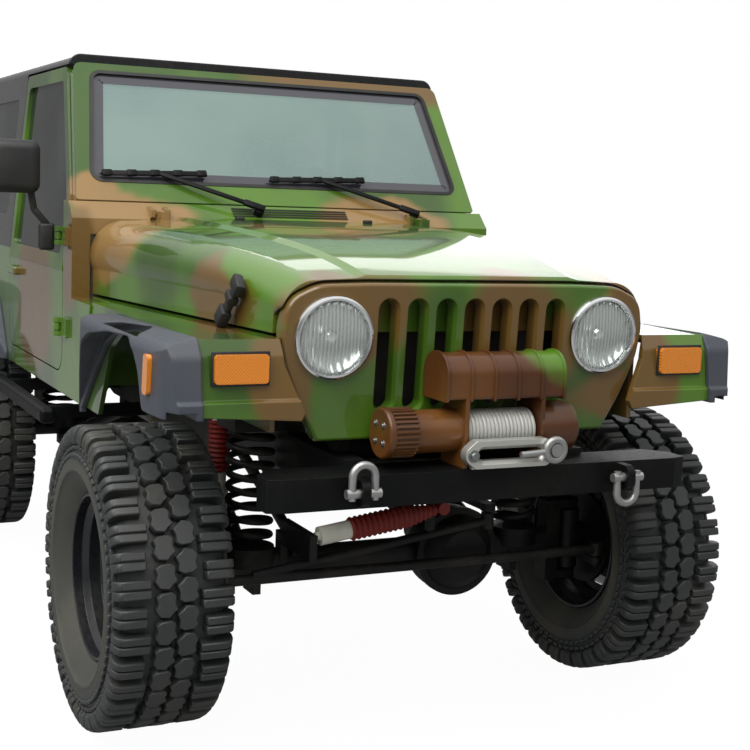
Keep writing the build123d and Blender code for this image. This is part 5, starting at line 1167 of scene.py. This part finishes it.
class OFFROAD_OT_nodes(bpy.types.Operator):
    """Gives every CAD node the finish that its slot names; side windows are darker."""
    bl_idname = "offroad.nodes"
    bl_label = "CAD nodes"

    def execute(self, context):
        for name, piece in NODES.items():
            slot = SLOTS[name]
            if slot == "glass" and name != "windshield_glass":
                slot = "side_glass"
            piece.data.materials.clear()
            piece.data.materials.append(MADE[slot])
        return {"FINISHED"}


class OFFROAD_OT_stage(bpy.types.Operator):
    """Adds the floor, the light and the camera."""
    bl_idname = "offroad.stage"
    bl_label = "Stage"

    def execute(self, context):
        stage = context.scene.offroad_stage
        self.floor(stage)
        self.sky(context.scene, stage)
        self.panels(context.scene, stage)
        self.camera(context.scene, stage)
        context.scene.view_settings.view_transform = "Standard"
        return {"FINISHED"}

    def floor(self, stage):
        """A floor that looks white and keeps the shadow."""
        bm = bmesh.new()
        bmesh.ops.create_grid(bm, x_segments=2, y_segments=2, size=stage.floor / 2)
        floor = piece_from(bm, "floor")
        made = Finish("floor", roughness=0.9)
        made.set("Base Color", made.mix(0.06 * made.noise(3.0), (0.20, 0.20, 0.20), (0.17, 0.17, 0.17)))
        glow = made.node("ShaderNodeEmission", {}, {"Color": (1, 1, 1), "Strength": 1.13})
        seen = made.node("ShaderNodeLightPath", {}, {}, "Is Camera Ray")
        shiny = made.node("ShaderNodeLightPath", {}, {}, "Is Glossy Ray")
        through = made.node("ShaderNodeLightPath", {}, {}, "Is Transmission Ray")
        share = 0.86 * seen.most(shiny * 0.14).most(through)
        plain = Field(made, made.surface.outputs[0])
        both = made.node("ShaderNodeMixShader", {}, {0: share, 1: plain, 2: glow})
        made.put(made.tree.nodes["Material Output"].inputs["Surface"], both)
        floor.data.materials.append(made.material)

    def sky(self, scene, stage):
        """Even light, white to the camera, and brighter high up in reflections."""
        world = bpy.data.worlds.new("studio")
        scene.world = world
        world.use_nodes = True
        made = Shader(world.node_tree)
        where = made.node("ShaderNodeTexCoord", {}, {}, "Generated")
        height = made.node("ShaderNodeSeparateXYZ", {}, {0: where}, "Z")
        rise = made.node("ShaderNodeMapRange", {"interpolation_type": "SMOOTHSTEP"}, {
            "Value": height, "From Min": 0.1, "From Max": 0.6,
            "To Min": stage.shine, "To Max": stage.overhead})
        light = stage.sky
        for ray, strength in (("Is Glossy Ray", rise), ("Is Transmission Ray", 1.0), ("Is Camera Ray", 1.0)):
            seen = made.node("ShaderNodeLightPath", {}, {}, ray)
            light = made.node("ShaderNodeMix", {}, {"Factor": seen, "A": light, "B": strength}, "Result")
        back = made.tree.nodes["Background"]
        made.put(back.inputs["Strength"], light)
        made.put(back.inputs["Color"], (1.0, 1.0, 1.0))

    def panels(self, scene, stage):
        """Two area lights."""
        # Name, place, turn in degrees, width and height, watts
        for name, place, turn, size, power in (
                ("overhead", (-2.7, -3.0, 5.5), (22, -24, 0), (6.0, 6.0), stage.key),
                ("back", (5.5, 9.0, 4.0), (-74, 0, -24), (12.0, 6.0), stage.back)):
            panel = bpy.data.lights.new(name, "AREA")
            panel.shape = "RECTANGLE"
            panel.size, panel.size_y = size
            panel.energy = power
            lamp = bpy.data.objects.new(name, panel)
            lamp.location = place
            lamp.rotation_euler = [math.radians(a) for a in turn]
            lamp.visible_camera = False
            scene.collection.objects.link(lamp)

    def camera(self, scene, stage):
        """The camera, placed from the front axle."""
        camera = bpy.data.cameras.new("camera")
        camera.lens = stage.lens
        camera.sensor_width = 36.0
        eye = bpy.data.objects.new("camera", camera)
        turn = (Matrix.Rotation(stage.pan, 4, "Z") @ Matrix.Rotation(math.pi / 2 + stage.tilt, 4, "X")
                @ Matrix.Rotation(stage.roll, 4, "Z"))
        eye.matrix_world = Matrix.Translation(spot(*stage.place)) @ turn
        scene.collection.objects.link(eye)
        scene.camera = eye


GROUPS = {
    "offroad_paint": OffroadPaint, "offroad_tyre": OffroadTyre, "offroad_wheel": OffroadWheel,
    "offroad_lamp": OffroadLamp, "offroad_screen": OffroadScreen, "offroad_latch": OffroadLatch,
    "offroad_winch": OffroadWinch, "offroad_damper": OffroadDamper, "offroad_seat": OffroadSeat,
    "offroad_fittings": OffroadFittings, "offroad_wiper": OffroadWiper, "offroad_mirror": OffroadMirror,
    "offroad_stage": OffroadStage,
}
OPERATORS = (OFFROAD_OT_nodes, OFFROAD_OT_tyres, OFFROAD_OT_wheels, OFFROAD_OT_lamps, OFFROAD_OT_screen,
             OFFROAD_OT_latches, OFFROAD_OT_winch, OFFROAD_OT_boots, OFFROAD_OT_seats, OFFROAD_OT_fittings,
             OFFROAD_OT_wipers, OFFROAD_OT_mirror, OFFROAD_OT_engine, OFFROAD_OT_stage)


class OFFROAD_PT_panel(bpy.types.Panel):
    """Lists the steps."""
    bl_idname = "OFFROAD_PT_panel"
    bl_label = "Off-road vehicle"
    bl_space_type = "VIEW_3D"
    bl_region_type = "UI"
    bl_category = "Off-road"

    def draw(self, context):
        for each in OPERATORS:
            self.layout.operator(each.bl_idname)


CLASSES = (*GROUPS.values(), *OPERATORS, OFFROAD_PT_panel)


def register():
    for each in CLASSES:
        bpy.utils.register_class(each)
    for name, group in GROUPS.items():
        setattr(bpy.types.Scene, name, PointerProperty(type=group))


def unregister():
    for name in GROUPS:
        delattr(bpy.types.Scene, name)
    for each in reversed(CLASSES):
        bpy.utils.unregister_class(each)


def main():
    register()
    MADE.update(finishes())
    bpy.ops.offroad.nodes()
    bpy.ops.offroad.tyres()
    bpy.ops.offroad.wheels()
    bpy.ops.offroad.lamps()
    bpy.ops.offroad.screen()
    bpy.ops.offroad.latches()
    bpy.ops.offroad.winch()
    bpy.ops.offroad.boots()
    bpy.ops.offroad.seats()
    bpy.ops.offroad.fittings()
    bpy.ops.offroad.wipers()
    bpy.ops.offroad.mirror()
    bpy.ops.offroad.engine()
    bpy.ops.offroad.stage()
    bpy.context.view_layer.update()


if __name__ == "__main__":
    main()
